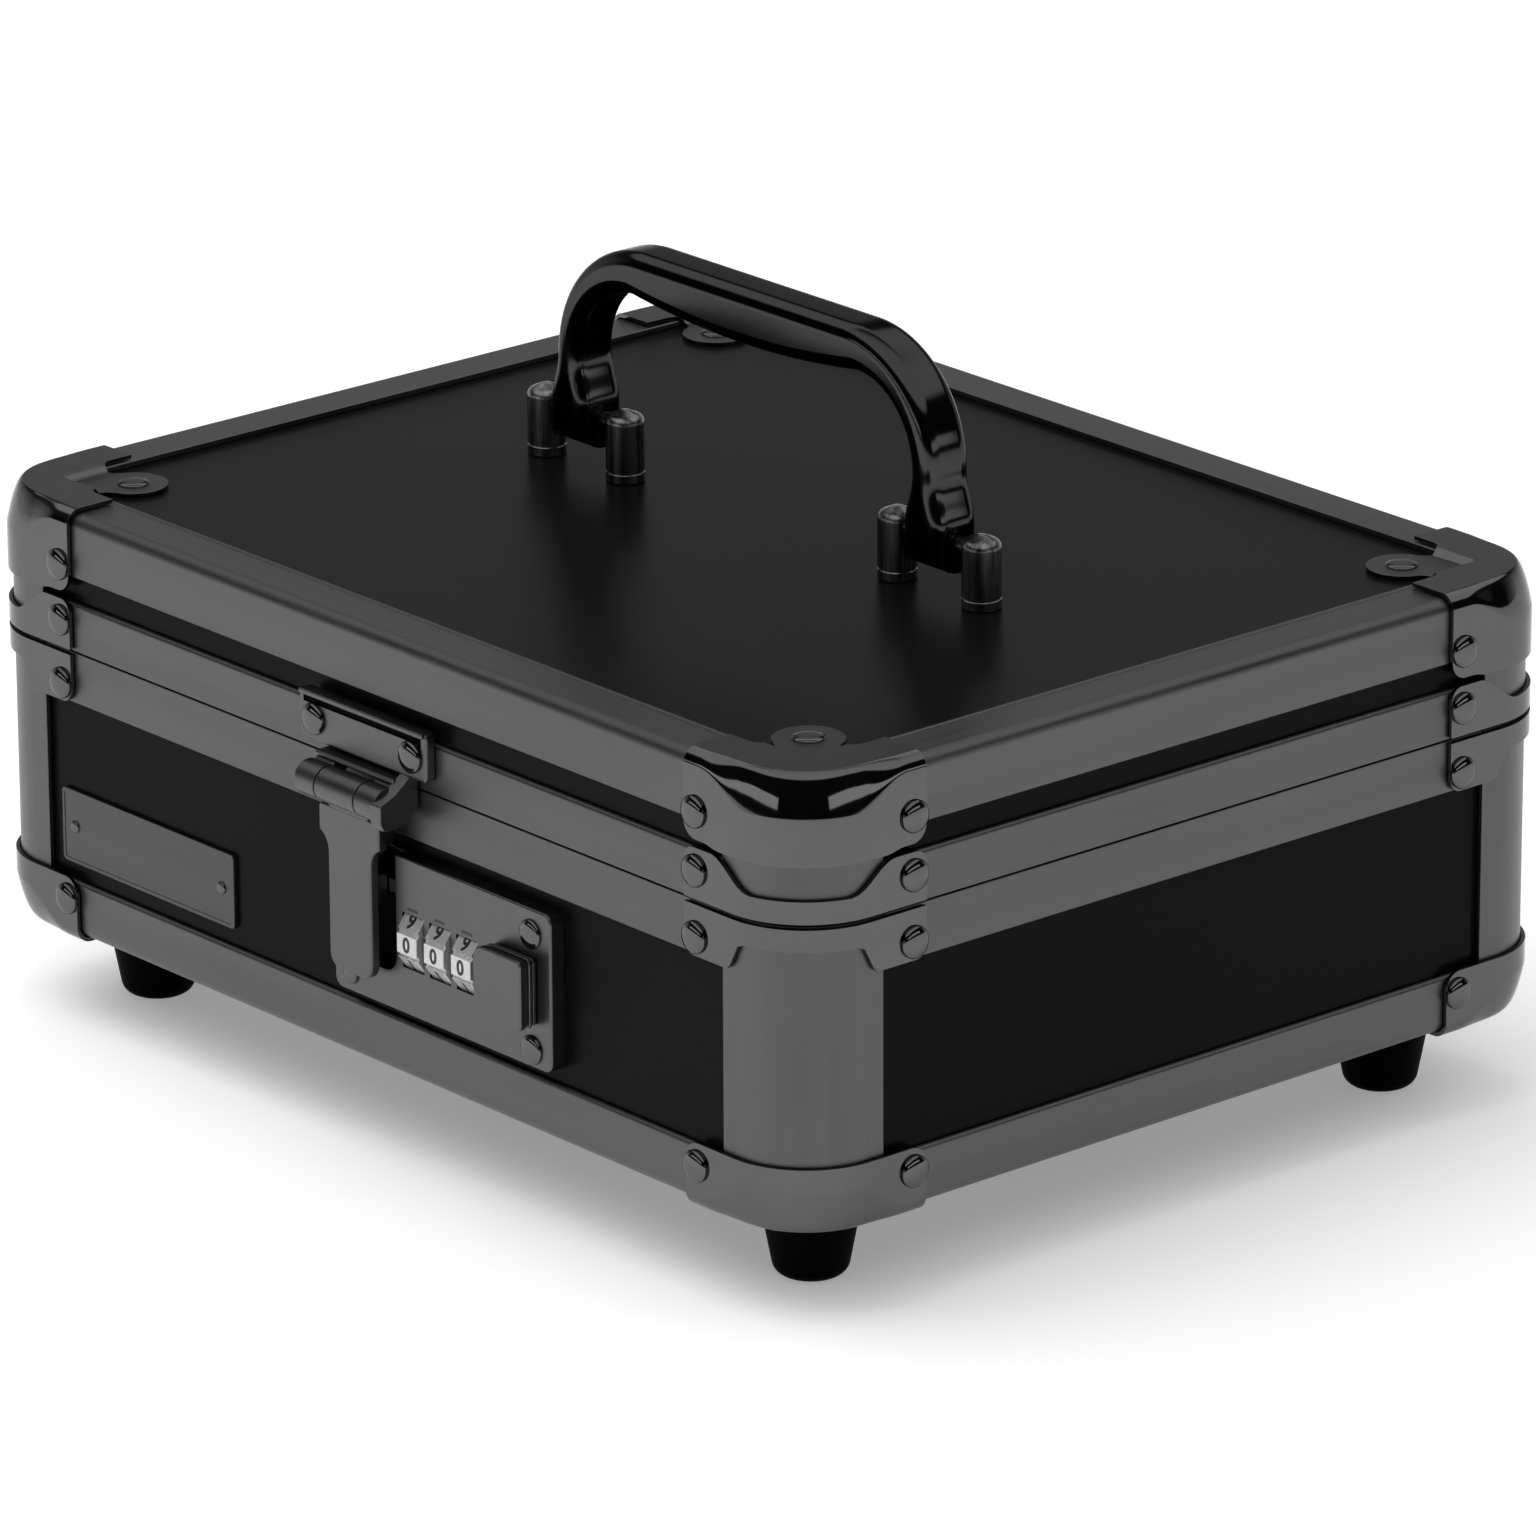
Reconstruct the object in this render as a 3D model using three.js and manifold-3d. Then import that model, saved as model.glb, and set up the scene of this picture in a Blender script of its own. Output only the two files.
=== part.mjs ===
// Combination cash box: boards held in aluminium edge profiles, plated corner caps, a hasp and a dial lock.
// Sizes are in millimetres. X runs along the front, Y from the front to the back, Z up.
// The origin is the middle of the overall box, on the plane that the feet stand on.

import * as THREE from 'three';
import { mergeVertices } from 'three/addons/utils/BufferGeometryUtils.js';
import Module from 'manifold-3d';

const wasm = await Module();
wasm.setup();

// Fits
const seat = 0.3; // between pieces that lie against each other
const touch = 0.05; // under small flat seats
const running = 0.3; // round pins, dials and sliding pieces

// Shell, measured on the faces of the aluminium profiles
const shellWidth = 284;
const shellDepth = 225;
const baseHeight = 69;
const lidHeight = 32.2;
const seamGap = 0.4;
const cornerRadius = 19.5;
const boardThickness = 6;

// Aluminium profiles
const profileWall = 1.2;
const profileRound = 3; // long rounded edge of the bottom and top rails
const lipWidth = 13.4; // part of the bottom and top rails that lies on the flat boards
const beadWidth = 0.9;
const beadHeight = 0.2;
const beadShoulder = 0.3; // share of its width that each slope takes
const bottomRailHeight = 13.5;
const topRailHeight = 14.6;
const baseRimHeight = 12.1;
const lidRimHeight = 11.4;
const rimInnerHeight = 7;
const tongueInset = 2.2;
const tongueWidth = 1.2;
const tongueHeight = 1.6; // above the seam, behind the lid's rail
const grooveDepth = 1.9; // from the lid's lower edge up to the web of its rail
const stripReach = 24.1; // corner strips, from the sharp corner along each side

// Plated corner caps and rim clamps
const plateThickness = 0.9;
const capReach = 35.2;
const capLegWidth = 12;
const capTabRound = 4;
const topCapTab = 18.4; // height of the tabs below the top rails' face
const topCapSkirt = 19.2; // height at the corner
const bottomCapTab = 14.5;
const bottomCapSkirt = 14.5;
const earInset = 25.4; // riveted ear of a top cap, from the sharp corner
const earRadius = 8;
const earFillet = 3;
const clampSeamGap = 0.4;
const clampTab = 11.6; // height of a rim clamp's tabs
const clampBand = 5.1; // height of its band round the corner
const clampTabRound = 3;
const baseClampBend = [17, 21.5]; // where the band's edge turns into the tab's, from the sharp corner
const lidClampBend = [14.5, 26.6];
const baseClampRivet = 7.4; // from the clamp's edge at the seam
const lidClampRivet = 6.4;
const capBend = [24, 29];

// Rivets and screws
const rivetRadius = 3.7;
const rivetHeight = 1.7;
const rivetDome = { edge: 0.15, shoulder: 0.8, rise: 0.66 }; // shares of a head's height, radius and height
const rivetInset = 31.7;
const bottomRivetHeight = 9.2;
const topRivetDrop = 12.2;

// Feet
const footHeight = 21.5; // from the floor to the underside of the rails
const footInset = 27.5;
const footTopRadius = 12;
const footBottomRadius = 8.3;
const footEdgeRound = 2.2;
const footEdgeStep = 0.3; // share of the rounding at its middle
const footRecessRadius = 3.4;
const footRecessDepth = 5;

// Bare name plate, placed from the left end of the box and the bottom rail
const namePlate = {
  inset: 28.5, above: 4.1, width: 63, height: 17.7, thickness: 1, round: 1.2,
  pinInset: 4.6, pinRadius: 1.5, pinHeight: 0.6,
};

// Lock plate, in front of the front board, placed from the rails above and below it
const lock = { left: -10.9, right: 63.8, aboveRail: 3.1, belowRim: 3.7, proud: 2.4, round: 2.5, edge: 0.6 };
const pocket = { left: -9.1, right: 11, above: 8.6, floor: 0.8, round: 4 };
const lockScrew = { radius: 3.4, height: 1.3, right: 6.6, left: 5.9, top: 5.8, bottom: 4.1 };

// Dials
const dialRadius = 9;
const dialWidth = 6.8;
const dialPitch = 9.3;
const dialFirst = 16.8;
const dialDrop = 1.2; // below the middle of the board between the rails
const dialProud = 2.3; // beyond the lock plate
const dialFigures = 10;
const dialGroove = 0.55;
const dialFlat = 0.84; // share of each figure's place that is flat
const axleRadius = 1.5;

// Slide button and bolt, with heights from the dials' axis
const button = { left: 43.3, right: 59.4, below: 7.6, above: 8.6, proud: 5, round: 3.2, edge: 1 };
const buttonTravel = 3.2;
const stem = { left: 46.5, right: 53, below: 3, above: 4 };
const boltTail = { left: 45.5, right: 55.5, below: 4.5 };
const bolt = { above: 9.4, height: 3, thickness: 2.5, noseThickness: 1, noseLength: 6 };
const boltSkin = 0.8; // of the lock plate, in front of the bolt
const lockCase = { left: 11.6, right: 61, below: 11.4, above: 14.6, depth: 13.7, wall: 1.2, bracketRise: 2.5 };

// Hasp, on the front of the lid, with heights from the lid's lower edge
const haspMiddle = 0.5;
const haspPlate = { width: 44, above: 2.8, height: 11.6, thickness: 2.4, round: 1.5, lip: 1.3, lipProud: 0.7 };
const haspRivetX = 16.8;
const haspRivetAbove = 8;
const haspAxis = { below: 3.3, proud: 7.1 };
const haspBarrelRadius = 4.1;
const haspPinRadius = 1.6;
const haspKnuckle = 13.4; // width of the arm's own knuckle
const haspBarrel = 27.4;
const haspWebFoot = 3; // height of the webs on the plate and of their foot behind the barrel
const haspCheek = { thickness: 2.8, reach: 11.3, half: 4.9, toe: 1.8, chin: 4, brow: 1.6, nose: 1, lean: 2.4 };
const haspArm = {
  proud: 7, thickness: 2.2, width: 14.7, edge: 0.5, tipGap: 6.8,
  shoulderDrop: 5, shoulderHeight: 6.5, shoulderWidth: 20.8, shoulderThickness: 4.8, taper: 4.2, flare: 0.3,
};
const catchLug = { left: -3, right: 7, below: 2.4, above: 1.2, tip: 0.5, notch: 3.2, wall: 0.6 };

// Lid hinges, on the back
const hingeInset = 64; // from the ends of the box
const hingeWidth = 44;
const hingeGap = 1.2; // from the seam to each leaf
const hingeRivet = { radius: 2.2, height: 1, inset: 5, rise: 7.4 };
const hingeLeaf = 1.2;
const hingeLeafHeight = 11;
const hingeBarrelRadius = 3.1;
const hingePinRadius = 1.3;
const hingeProud = 3.6; // hinge axis behind the back face
const hingeKnuckle = 15;

// Handle, on the middle of the lid
const handle = {
  legX: 60.5, legWidth: 7.8, outerRadius: 29, innerRadius: 18.5, top: 57, grip: 10.4, gripMiddle: 14.2,
  depth: 13, edge: 2.7, footWidth: 13, footRadius: 6.7, flareLow: 16, flareHigh: 30, flareBend: 3, swell: 0.35,
};
const pivotHeight = 12.7; // above the lid's board
const pivotPinRadius = 2;
const postRadius = 4.5;
const postHeight = 16.8;
const postDome = 2.6;
const postDomeSteps = [[0.86, 0.4], [0.5, 0.08]]; // shares of the radius, and of the dome's height from its top
const postOffset = 13.9; // from the middle of a leg to each of its posts

// Coin tray and its ledges
const tray = { frontGap: 17, sideGap: 10.4, height: 34, topDrop: 2.2, wall: 2, floor: 2, round: 9, frontRow: 78 };
const coinCups = 5;
const noteWells = 3;
const wellRound = 7;
const ledge = { width: 9, height: 5, length: 150 };

// Values that follow from the sizes above
const boardFace = profileWall + seat;
const boardInner = boardFace + boardThickness;
const lidBottom = baseHeight + seamGap;
const shellTop = lidBottom + lidHeight;
const plateProud = seat + plateThickness;
const floorTop = profileWall + touch + boardThickness;
const lidBoardTop = shellTop - profileWall - touch;
const lidBoardUnder = lidBoardTop - boardThickness;
const flatInset = profileRound + seat;
const rimInner = boardInner + seat + profileWall;
const haspReach = haspCheek.reach;
const hingeReach = hingeProud + hingeBarrelRadius;
const hingeX = shellWidth / 2 - hingeInset;
const shellShift = (haspReach - hingeReach) / 2;
const seamMiddle = baseHeight + seamGap / 2;
const dialCentre = lock.proud + dialProud - dialRadius; // outwards from the rails' face
const rimLow = baseHeight - baseRimHeight;
const dialHeight = (bottomRailHeight + rimLow) / 2 - dialDrop;
const lockLow = bottomRailHeight + lock.aboveRail;
const lockHigh = rimLow - lock.belowRim;
const boltLow = dialHeight + bolt.above;
const boltHigh = boltLow + bolt.height;
const boltTailLow = dialHeight - boltTail.below;
const haspHeight = lidBottom - haspAxis.below;
const haspPlateLow = lidBottom + haspPlate.above;
const haspPlateHigh = haspPlateLow + haspPlate.height;

// Materials
const finish = (color, roughness, metalness) => new THREE.MeshStandardMaterial({ color, roughness, metalness });
const aluminium = finish(0x5e5e60, 0.38, 1);
const blackBoard = finish(0x1c1c1e, 0.55, 0);
const blackChrome = finish(0x3a3a3d, 0.15, 1);
const rubber = finish(0x0b0b0b, 0.8, 0);
const silver = finish(0xd8d8da, 0.25, 1);
const blackPlastic = finish(0x141416, 0.5, 0);
const steel = finish(0x8a8a8c, 0.35, 1);

// Solids from three.js geometry
function solid(geometry) {
  const bare = geometry.clone();
  bare.deleteAttribute('normal');
  bare.deleteAttribute('uv');
  const merged = mergeVertices(bare, 1e-4);
  const vertProperties = new Float32Array(merged.attributes.position.array);
  const triVerts = new Uint32Array(merged.index.array);
  return new wasm.Manifold(new wasm.Mesh({ numProp: 3, vertProperties, triVerts }));
}

function geometryOf(manifold) {
  const mesh = manifold.getMesh();
  const geometry = new THREE.BufferGeometry();
  geometry.setAttribute('position', new THREE.BufferAttribute(mesh.vertProperties, 3));
  geometry.setIndex(new THREE.BufferAttribute(mesh.triVerts, 1));
  return geometry;
}

const join = (first, ...others) => others.reduce((sum, other) => sum.add(other), first);
const cut = (first, ...others) => others.reduce((rest, other) => rest.subtract(other), first);
const common = (first, ...others) => others.reduce((part, other) => part.intersect(other), first);

function block(x0, x1, y0, y1, z0, z1) {
  const box = new THREE.BoxGeometry(x1 - x0, y1 - y0, z1 - z0);
  return solid(box.translate((x0 + x1) / 2, (y0 + y1) / 2, (z0 + z1) / 2));
}

// A shape drawn in X and Y, standing from one height to another
function prism(shape, from, to, curveSegments = 3) {
  const body = new THREE.ExtrudeGeometry(shape, { depth: to - from, bevelEnabled: false, curveSegments });
  return solid(body.translate(0, 0, from));
}

// A shape drawn in Y and Z, drawn out along X
function alongX(shape, from, to, curveSegments = 3) {
  const body = new THREE.ExtrudeGeometry(shape, { depth: to - from, bevelEnabled: false, curveSegments });
  body.translate(0, 0, from);
  const turn = new THREE.Matrix4().makeBasis(
    new THREE.Vector3(0, 1, 0), new THREE.Vector3(0, 0, 1), new THREE.Vector3(1, 0, 0));
  return solid(body.applyMatrix4(turn));
}

// A shape drawn in X and Z, drawn out along Y
function alongY(shape, from, to, curveSegments = 3) {
  const body = new THREE.ExtrudeGeometry(shape, { depth: to - from, bevelEnabled: false, curveSegments });
  body.translate(0, 0, -to);
  return solid(body.rotateX(Math.PI / 2));
}

function outline(points) {
  return new THREE.Shape(points.map(([x, y]) => new THREE.Vector2(x, y)));
}

function disc(x, y, radius) {
  const shape = new THREE.Shape();
  shape.absarc(x, y, radius, 0, 2 * Math.PI, false);
  return shape;
}

function roundedRectangle(x0, x1, y0, y1, radius) {
  const shape = new THREE.Shape();
  shape.moveTo(x0 + radius, y0);
  shape.lineTo(x1 - radius, y0);
  shape.absarc(x1 - radius, y0 + radius, radius, -Math.PI / 2, 0, false);
  shape.lineTo(x1, y1 - radius);
  shape.absarc(x1 - radius, y1 - radius, radius, 0, Math.PI / 2, false);
  shape.lineTo(x0 + radius, y1);
  shape.absarc(x0 + radius, y1 - radius, radius, Math.PI / 2, Math.PI, false);
  shape.lineTo(x0, y0 + radius);
  shape.absarc(x0 + radius, y0 + radius, radius, Math.PI, 1.5 * Math.PI, false);
  return shape;
}

// A shape drawn in X and Y with its edges rounded over by the same radius at both ends
function softPrism(shape, from, to, round, bevelSegments = 3, curveSegments = 3) {
  const body = new THREE.ExtrudeGeometry(shape, {
    depth: to - from - 2 * round, bevelEnabled: true, bevelThickness: round, bevelSize: round,
    bevelOffset: -round, bevelSegments, curveSegments,
  });
  return solid(body.translate(0, 0, from + round));
}

function turned(points, segments = 16) {
  const profile = points.map(([r, z]) => new THREE.Vector2(r, z));
  return solid(new THREE.LatheGeometry(profile, segments).rotateX(Math.PI / 2));
}

// A domed head that stands on z = 0 and reaches a little below it
function rivetHead(radius = rivetRadius, height = rivetHeight, root = 0.4, segments = 8) {
  const { edge, shoulder, rise } = rivetDome;
  const dome = [
    [0, -root], [radius, -root], [radius, edge * height], [shoulder * radius, rise * height], [0, height],
  ];
  return turned(dome, segments);
}

// A solid turned about the origin and then moved
function placed(body, [x, y, z], [turnX, turnY, turnZ] = [0, 0, 0]) {
  const matrix = new THREE.Matrix4().makeRotationFromEuler(new THREE.Euler(turnX, turnY, turnZ));
  return solid(geometryOf(body).applyMatrix4(matrix.setPosition(x, y, z)));
}

// Scene
const object = new THREE.Group();
const shell = new THREE.Group();
shell.position.set(0, shellShift, footHeight);
object.add(shell);

function add(parent, name, shape, material) {
  const mesh = new THREE.Mesh(geometryOf(shape), material);
  mesh.name = name;
  parent.add(mesh);
  return mesh;
}

function frameAt(x, y, z, turn = 0) {
  const frame = new THREE.Group();
  frame.position.set(x, y, z);
  frame.rotation.z = turn;
  shell.add(frame);
  return frame;
}

// Each side's frame: X along the side, Y inwards from the rails' face, Z up
const sides = {
  front: { length: shellWidth, frame: frameAt(0, -shellDepth / 2, 0) },
  right: { length: shellDepth, frame: frameAt(shellWidth / 2, 0, 0, Math.PI / 2) },
  back: { length: shellWidth, frame: frameAt(0, shellDepth / 2, 0, Math.PI) },
  left: { length: shellDepth, frame: frameAt(-shellWidth / 2, 0, 0, -Math.PI / 2) },
};

// Each corner's frame: X and Y inwards from the sharp corner along its two sides
const corners = {
  front_left: frameAt(-shellWidth / 2, -shellDepth / 2, 0),
  front_right: frameAt(shellWidth / 2, -shellDepth / 2, 0, Math.PI / 2),
  back_right: frameAt(shellWidth / 2, shellDepth / 2, 0, Math.PI),
  back_left: frameAt(-shellWidth / 2, shellDepth / 2, 0, -Math.PI / 2),
};

// The front's frame: X along the front, Y up, Z outwards from the rails' face
const front = new THREE.Group();
front.position.set(0, -shellDepth / 2, 0);
front.rotation.x = Math.PI / 2;
shell.add(front);

// The back's frame, for the hinges
const back = new THREE.Group();
back.position.set(0, shellDepth / 2, 0);
back.rotation.set(Math.PI / 2, Math.PI, 0);
shell.add(back);

// Profiles of the rails, drawn inwards and upwards from the outer lower edge
function edgeProfile(height) {
  const wall = profileWall;
  const round = profileRound;
  const slope = beadShoulder * beadWidth;
  const shape = new THREE.Shape();
  shape.moveTo(0, height);
  shape.lineTo(0, round);
  shape.absarc(round, round, round, Math.PI, 1.5 * Math.PI, false);
  shape.lineTo(lipWidth - beadWidth, 0);
  shape.lineTo(lipWidth - beadWidth + slope, -beadHeight);
  shape.lineTo(lipWidth - slope, -beadHeight);
  shape.lineTo(lipWidth, 0);
  shape.lineTo(lipWidth, wall);
  shape.lineTo(round, wall);
  shape.absarc(round, round, round - wall, 1.5 * Math.PI, Math.PI, true);
  shape.lineTo(wall, height);
  return shape;
}

function baseRimProfile() {
  const top = baseHeight;
  const low = baseHeight - baseRimHeight;
  const tongueInner = tongueInset + tongueWidth;
  return outline([
    [0, low], [profileWall, low], [profileWall, top - profileWall], [boardInner + seat, top - profileWall],
    [boardInner + seat, top - rimInnerHeight], [rimInner, top - rimInnerHeight], [rimInner, top],
    [tongueInner, top], [tongueInner, top + tongueHeight], [tongueInset, top + tongueHeight],
    [tongueInset, top], [0, top],
  ]);
}

function lidRimProfile() {
  const web = lidBottom + grooveDepth;
  return outline([
    [0, lidBottom], [profileWall, lidBottom], [profileWall, web], [rimInner, web],
    [rimInner, web + rimInnerHeight], [boardInner + seat, web + rimInnerHeight],
    [boardInner + seat, web + profileWall], [profileWall, web + profileWall],
    [profileWall, lidBottom + lidRimHeight], [0, lidBottom + lidRimHeight],
  ]);
}

for (const [side, { length, frame }] of Object.entries(sides)) {
  const half = length / 2 - stripReach - seat;
  add(frame, `bottom_rail_${side}`, alongX(edgeProfile(bottomRailHeight), -half, half), aluminium);
  add(frame, `base_rim_rail_${side}`, alongX(baseRimProfile(), -half, half), aluminium);
  add(frame, `lid_rim_rail_${side}`, alongX(lidRimProfile(), -half, half), aluminium);
  const top = add(frame, `top_rail_${side}`, alongX(edgeProfile(topRailHeight), -half, half), aluminium);
  top.rotation.y = Math.PI;
  top.position.z = shellTop;
}

// Corner strips: a rounded skin with a channel for the end of each board
function stripSection() {
  const reach = stripReach;
  const wall = profileWall;
  const radius = cornerRadius;
  const groove = boardInner + seat;
  const skinRadius = radius - wall;
  const slope = Math.asin(wall / skinRadius);
  const shape = new THREE.Shape();
  shape.moveTo(reach, 0);
  shape.lineTo(radius, 0);
  shape.absarc(radius, radius, radius, 1.5 * Math.PI, Math.PI, true);
  shape.lineTo(0, reach);
  shape.lineTo(wall, reach);
  shape.lineTo(wall, radius);
  shape.lineTo(groove, radius);
  shape.lineTo(groove, reach);
  shape.lineTo(groove + wall, reach);
  shape.lineTo(groove + wall, radius - wall);
  shape.absarc(radius, radius, skinRadius, Math.PI + slope, 1.5 * Math.PI - slope, false);
  shape.lineTo(radius - wall, groove + wall);
  shape.lineTo(reach, groove + wall);
  shape.lineTo(reach, groove);
  shape.lineTo(radius, groove);
  shape.lineTo(radius, wall);
  shape.lineTo(reach, wall);
  return shape;
}

// A block whose outer faces stand off the rails' faces, rounded at the corner and over its upper edge
function cornerBlock(offset, low, high, round = 0) {
  const span = 2 * capReach;
  const shape = roundedRectangle(-offset, span, -offset, span, cornerRadius + offset);
  return round ? softPrism(shape, low, high, round) : prism(shape, low, high);
}

// The outline of a cap or clamp on one side: a flat edge, a tab and a band that turn into each other
function tabOutline({ flat, tab, band, bend, round }) {
  const far = -2 * plateProud;
  const inward = Math.sign(flat - tab);
  const [bandEnd, tabStart] = bend;
  const middle = (bandEnd + tabStart) / 2;
  const shape = new THREE.Shape();
  shape.moveTo(far, flat);
  shape.lineTo(far, band);
  shape.lineTo(bandEnd, band);
  if (band !== tab) shape.bezierCurveTo(middle, band, middle, tab, tabStart, tab);
  shape.lineTo(capReach - round, tab);
  shape.quadraticCurveTo(capReach, tab, capReach, tab + inward * round);
  shape.lineTo(capReach, flat);
  return shape;
}

// Both sides of a corner piece share one outline, each as far in as the corner is round
function trimCorner(body, profile, ...kept) {
  const far = -2 * plateProud;
  return common(body, join(alongY(profile, far, cornerRadius, 4), alongX(profile, far, cornerRadius, 4), ...kept));
}

function sideRivets(height) {
  const head = rivetHead();
  const face = plateProud;
  const onFront = placed(head, [rivetInset, -face, height], [Math.PI / 2, 0, 0]);
  const onSide = placed(head, [-face, rivetInset, height], [0, -Math.PI / 2, 0]);
  return [onFront, onSide];
}

// Rim clamp, fused to its corner strip, which it is riveted through
function rimClamp({ flat, tab, band, bend, rivet }) {
  const low = Math.min(flat, tab);
  const high = Math.max(flat, tab);
  const shellBody = cut(cornerBlock(plateProud, low, high), cornerBlock(seat, low - 1, high + 1));
  const clamp = trimCorner(shellBody, tabOutline({ flat, tab, band, bend, round: clampTabRound }));
  const bandLow = Math.min(flat, band);
  const bandHigh = Math.max(flat, band);
  const bond = common(
    cut(cornerBlock(seat + 0.1, bandLow, bandHigh), cornerBlock(-profileWall / 2, bandLow - 1, bandHigh + 1)),
    block(-plateProud, stripReach - seat, -plateProud, stripReach - seat, bandLow, bandHigh));
  return join(clamp, bond, ...sideRivets(rivet));
}

// Flange outline of a cap: two legs along the rails and a round ear at the inner corner
function capFlange(inset, radius, fillet) {
  const far = -2 * plateProud;
  const leg = capLegWidth;
  const rise = leg + fillet;
  const run = Math.sqrt((radius + fillet) ** 2 - (inset - rise) ** 2); // from the ear to each fillet's centre
  const turn = Math.atan2(rise - inset, run);
  const shape = new THREE.Shape();
  shape.moveTo(far, far);
  shape.lineTo(capReach, far);
  shape.lineTo(capReach, leg);
  shape.lineTo(inset + run, leg);
  shape.absarc(inset + run, rise, fillet, -Math.PI / 2, -Math.PI + turn, true);
  shape.absarc(inset, inset, radius, turn, Math.PI / 2 - turn, false);
  shape.absarc(rise, inset + run, fillet, -Math.PI / 2 - turn, -Math.PI, true);
  shape.lineTo(leg, capReach);
  shape.lineTo(far, capReach);
  return shape;
}

// Corner cap, drawn for the top of the shell; the bottom caps are turned over
function cornerCap({ tab, skirt, ear, rivet }) {
  const outer = cornerBlock(plateProud, -2 * capReach, plateProud, profileRound + plateProud);
  const inner = cornerBlock(seat, -2 * capReach - 1, seat, profileRound + seat);
  const sheet = cut(outer, inner);
  const profile = tabOutline({ flat: 2 * plateProud, tab: -tab, band: -skirt, bend: capBend, round: capTabRound });
  const flange = prism(capFlange(...ear), -2 * capReach, 2 * plateProud, 4);
  const top = block(-2 * plateProud, capReach, -2 * plateProud, capReach, 0, 2 * plateProud);
  return join(common(trimCorner(sheet, profile, top), flange), ...sideRivets(-rivet));
}

const stripLow = floorTop + touch;
const baseStrip = prism(stripSection(), stripLow, baseHeight);
const lidStrip = prism(stripSection(), lidBottom, lidBoardUnder - touch);
const baseClampTop = baseHeight - clampSeamGap;
const lidClampLow = lidBottom + clampSeamGap;
const baseClamp = rimClamp({
  flat: baseClampTop, tab: baseClampTop - clampTab, band: baseClampTop - clampBand,
  bend: baseClampBend, rivet: baseClampTop - baseClampRivet,
});
const lidClamp = rimClamp({
  flat: lidClampLow, tab: lidClampLow + clampTab, band: lidClampLow + clampBand,
  bend: lidClampBend, rivet: lidClampLow + lidClampRivet,
});
const basePost = join(baseStrip, baseClamp);
const lidPost = join(lidStrip, lidClamp);
const turnedOver = new THREE.Quaternion().setFromAxisAngle(new THREE.Vector3(1, 1, 0).normalize(), Math.PI);
const bottomCap = cornerCap({
  tab: bottomCapTab, skirt: bottomCapSkirt, rivet: bottomRivetHeight,
  ear: [footInset, footTopRadius + seat, earFillet],
});
const topCap = join(
  cornerCap({ tab: topCapTab, skirt: topCapSkirt, rivet: topRivetDrop, ear: [earInset, earRadius, earFillet] }),
  placed(rivetHead(), [earInset, earInset, plateProud]));

for (const [corner, frame] of Object.entries(corners)) {
  add(frame, `base_corner_post_${corner}`, basePost, aluminium);
  add(frame, `lid_corner_post_${corner}`, lidPost, aluminium);
  add(frame, `top_cap_${corner}`, topCap, blackChrome).position.z = shellTop;
  const lower = add(frame, `bottom_cap_${corner}`, bottomCap, blackChrome);
  lower.quaternion.copy(turnedOver);
}

// Boards
const boardHalf = (length) => length / 2 - cornerRadius - seat;
const wallTop = baseHeight - profileWall - seat;

function wallBoard(length) {
  return block(-boardHalf(length), boardHalf(length), boardFace, boardInner, stripLow, wallTop);
}

function boardOutline(inset) {
  const x = shellWidth / 2 - inset;
  const y = shellDepth / 2 - inset;
  return roundedRectangle(-x, x, -y, y, cornerRadius - inset);
}

const ledgeTop = baseHeight - tray.topDrop - tray.height - seat;
const ledgeBody = block(
  -ledge.length / 2, ledge.length / 2, boardFace + boardThickness / 2, boardInner + ledge.width,
  ledgeTop - ledge.height, ledgeTop);
const lockWindow = block(
  lockCase.left - seat, lockCase.right + seat, 0, shellDepth / 4,
  dialHeight - lockCase.below - seat, dialHeight + lockCase.above + seat);
add(sides.front.frame, 'base_front_board', cut(wallBoard(shellWidth), lockWindow), blackBoard);
add(sides.back.frame, 'base_back_board', wallBoard(shellWidth), blackBoard);
add(sides.right.frame, 'base_right_board', join(wallBoard(shellDepth), ledgeBody), blackBoard);
add(sides.left.frame, 'base_left_board', join(wallBoard(shellDepth), ledgeBody), blackBoard);
add(shell, 'base_floor_board', prism(boardOutline(flatInset), profileWall + touch, floorTop), blackBoard);

// The lid's boards are glued into one open box
function lidBoardBox() {
  const low = lidBottom + grooveDepth + profileWall + seat;
  const halfX = boardHalf(shellWidth);
  const halfY = boardHalf(shellDepth);
  const outX = shellWidth / 2 - boardFace;
  const outY = shellDepth / 2 - boardFace;
  const inX = shellWidth / 2 - boardInner;
  const inY = shellDepth / 2 - boardInner;
  const top = lidBoardUnder;
  return join(
    prism(boardOutline(flatInset), lidBoardUnder, lidBoardTop),
    block(-halfX, halfX, -outY, -inY, low, top),
    block(-halfX, halfX, inY, outY, low, top),
    block(-outX, -inX, -halfY, halfY, low, top),
    block(inX, outX, -halfY, halfY, low, top));
}
add(shell, 'lid_board_box', lidBoardBox(), blackBoard);

// Feet, each on the ear of a bottom cap
function foot() {
  const top = -plateProud - touch;
  const recess = footRecessRadius;
  return turned([
    [0, -footHeight + footRecessDepth], [recess, -footHeight + footRecessDepth], [recess, -footHeight],
    [footBottomRadius - footEdgeRound, -footHeight],
    [footBottomRadius - footEdgeStep * footEdgeRound, -footHeight + footEdgeStep * footEdgeRound],
    [footBottomRadius, -footHeight + footEdgeRound], [footTopRadius, top], [0, top],
  ], 18);
}
for (const [corner, frame] of Object.entries(corners)) {
  add(frame, `foot_${corner}`, placed(foot(), [footInset, footInset, 0]), rubber);
}

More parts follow.
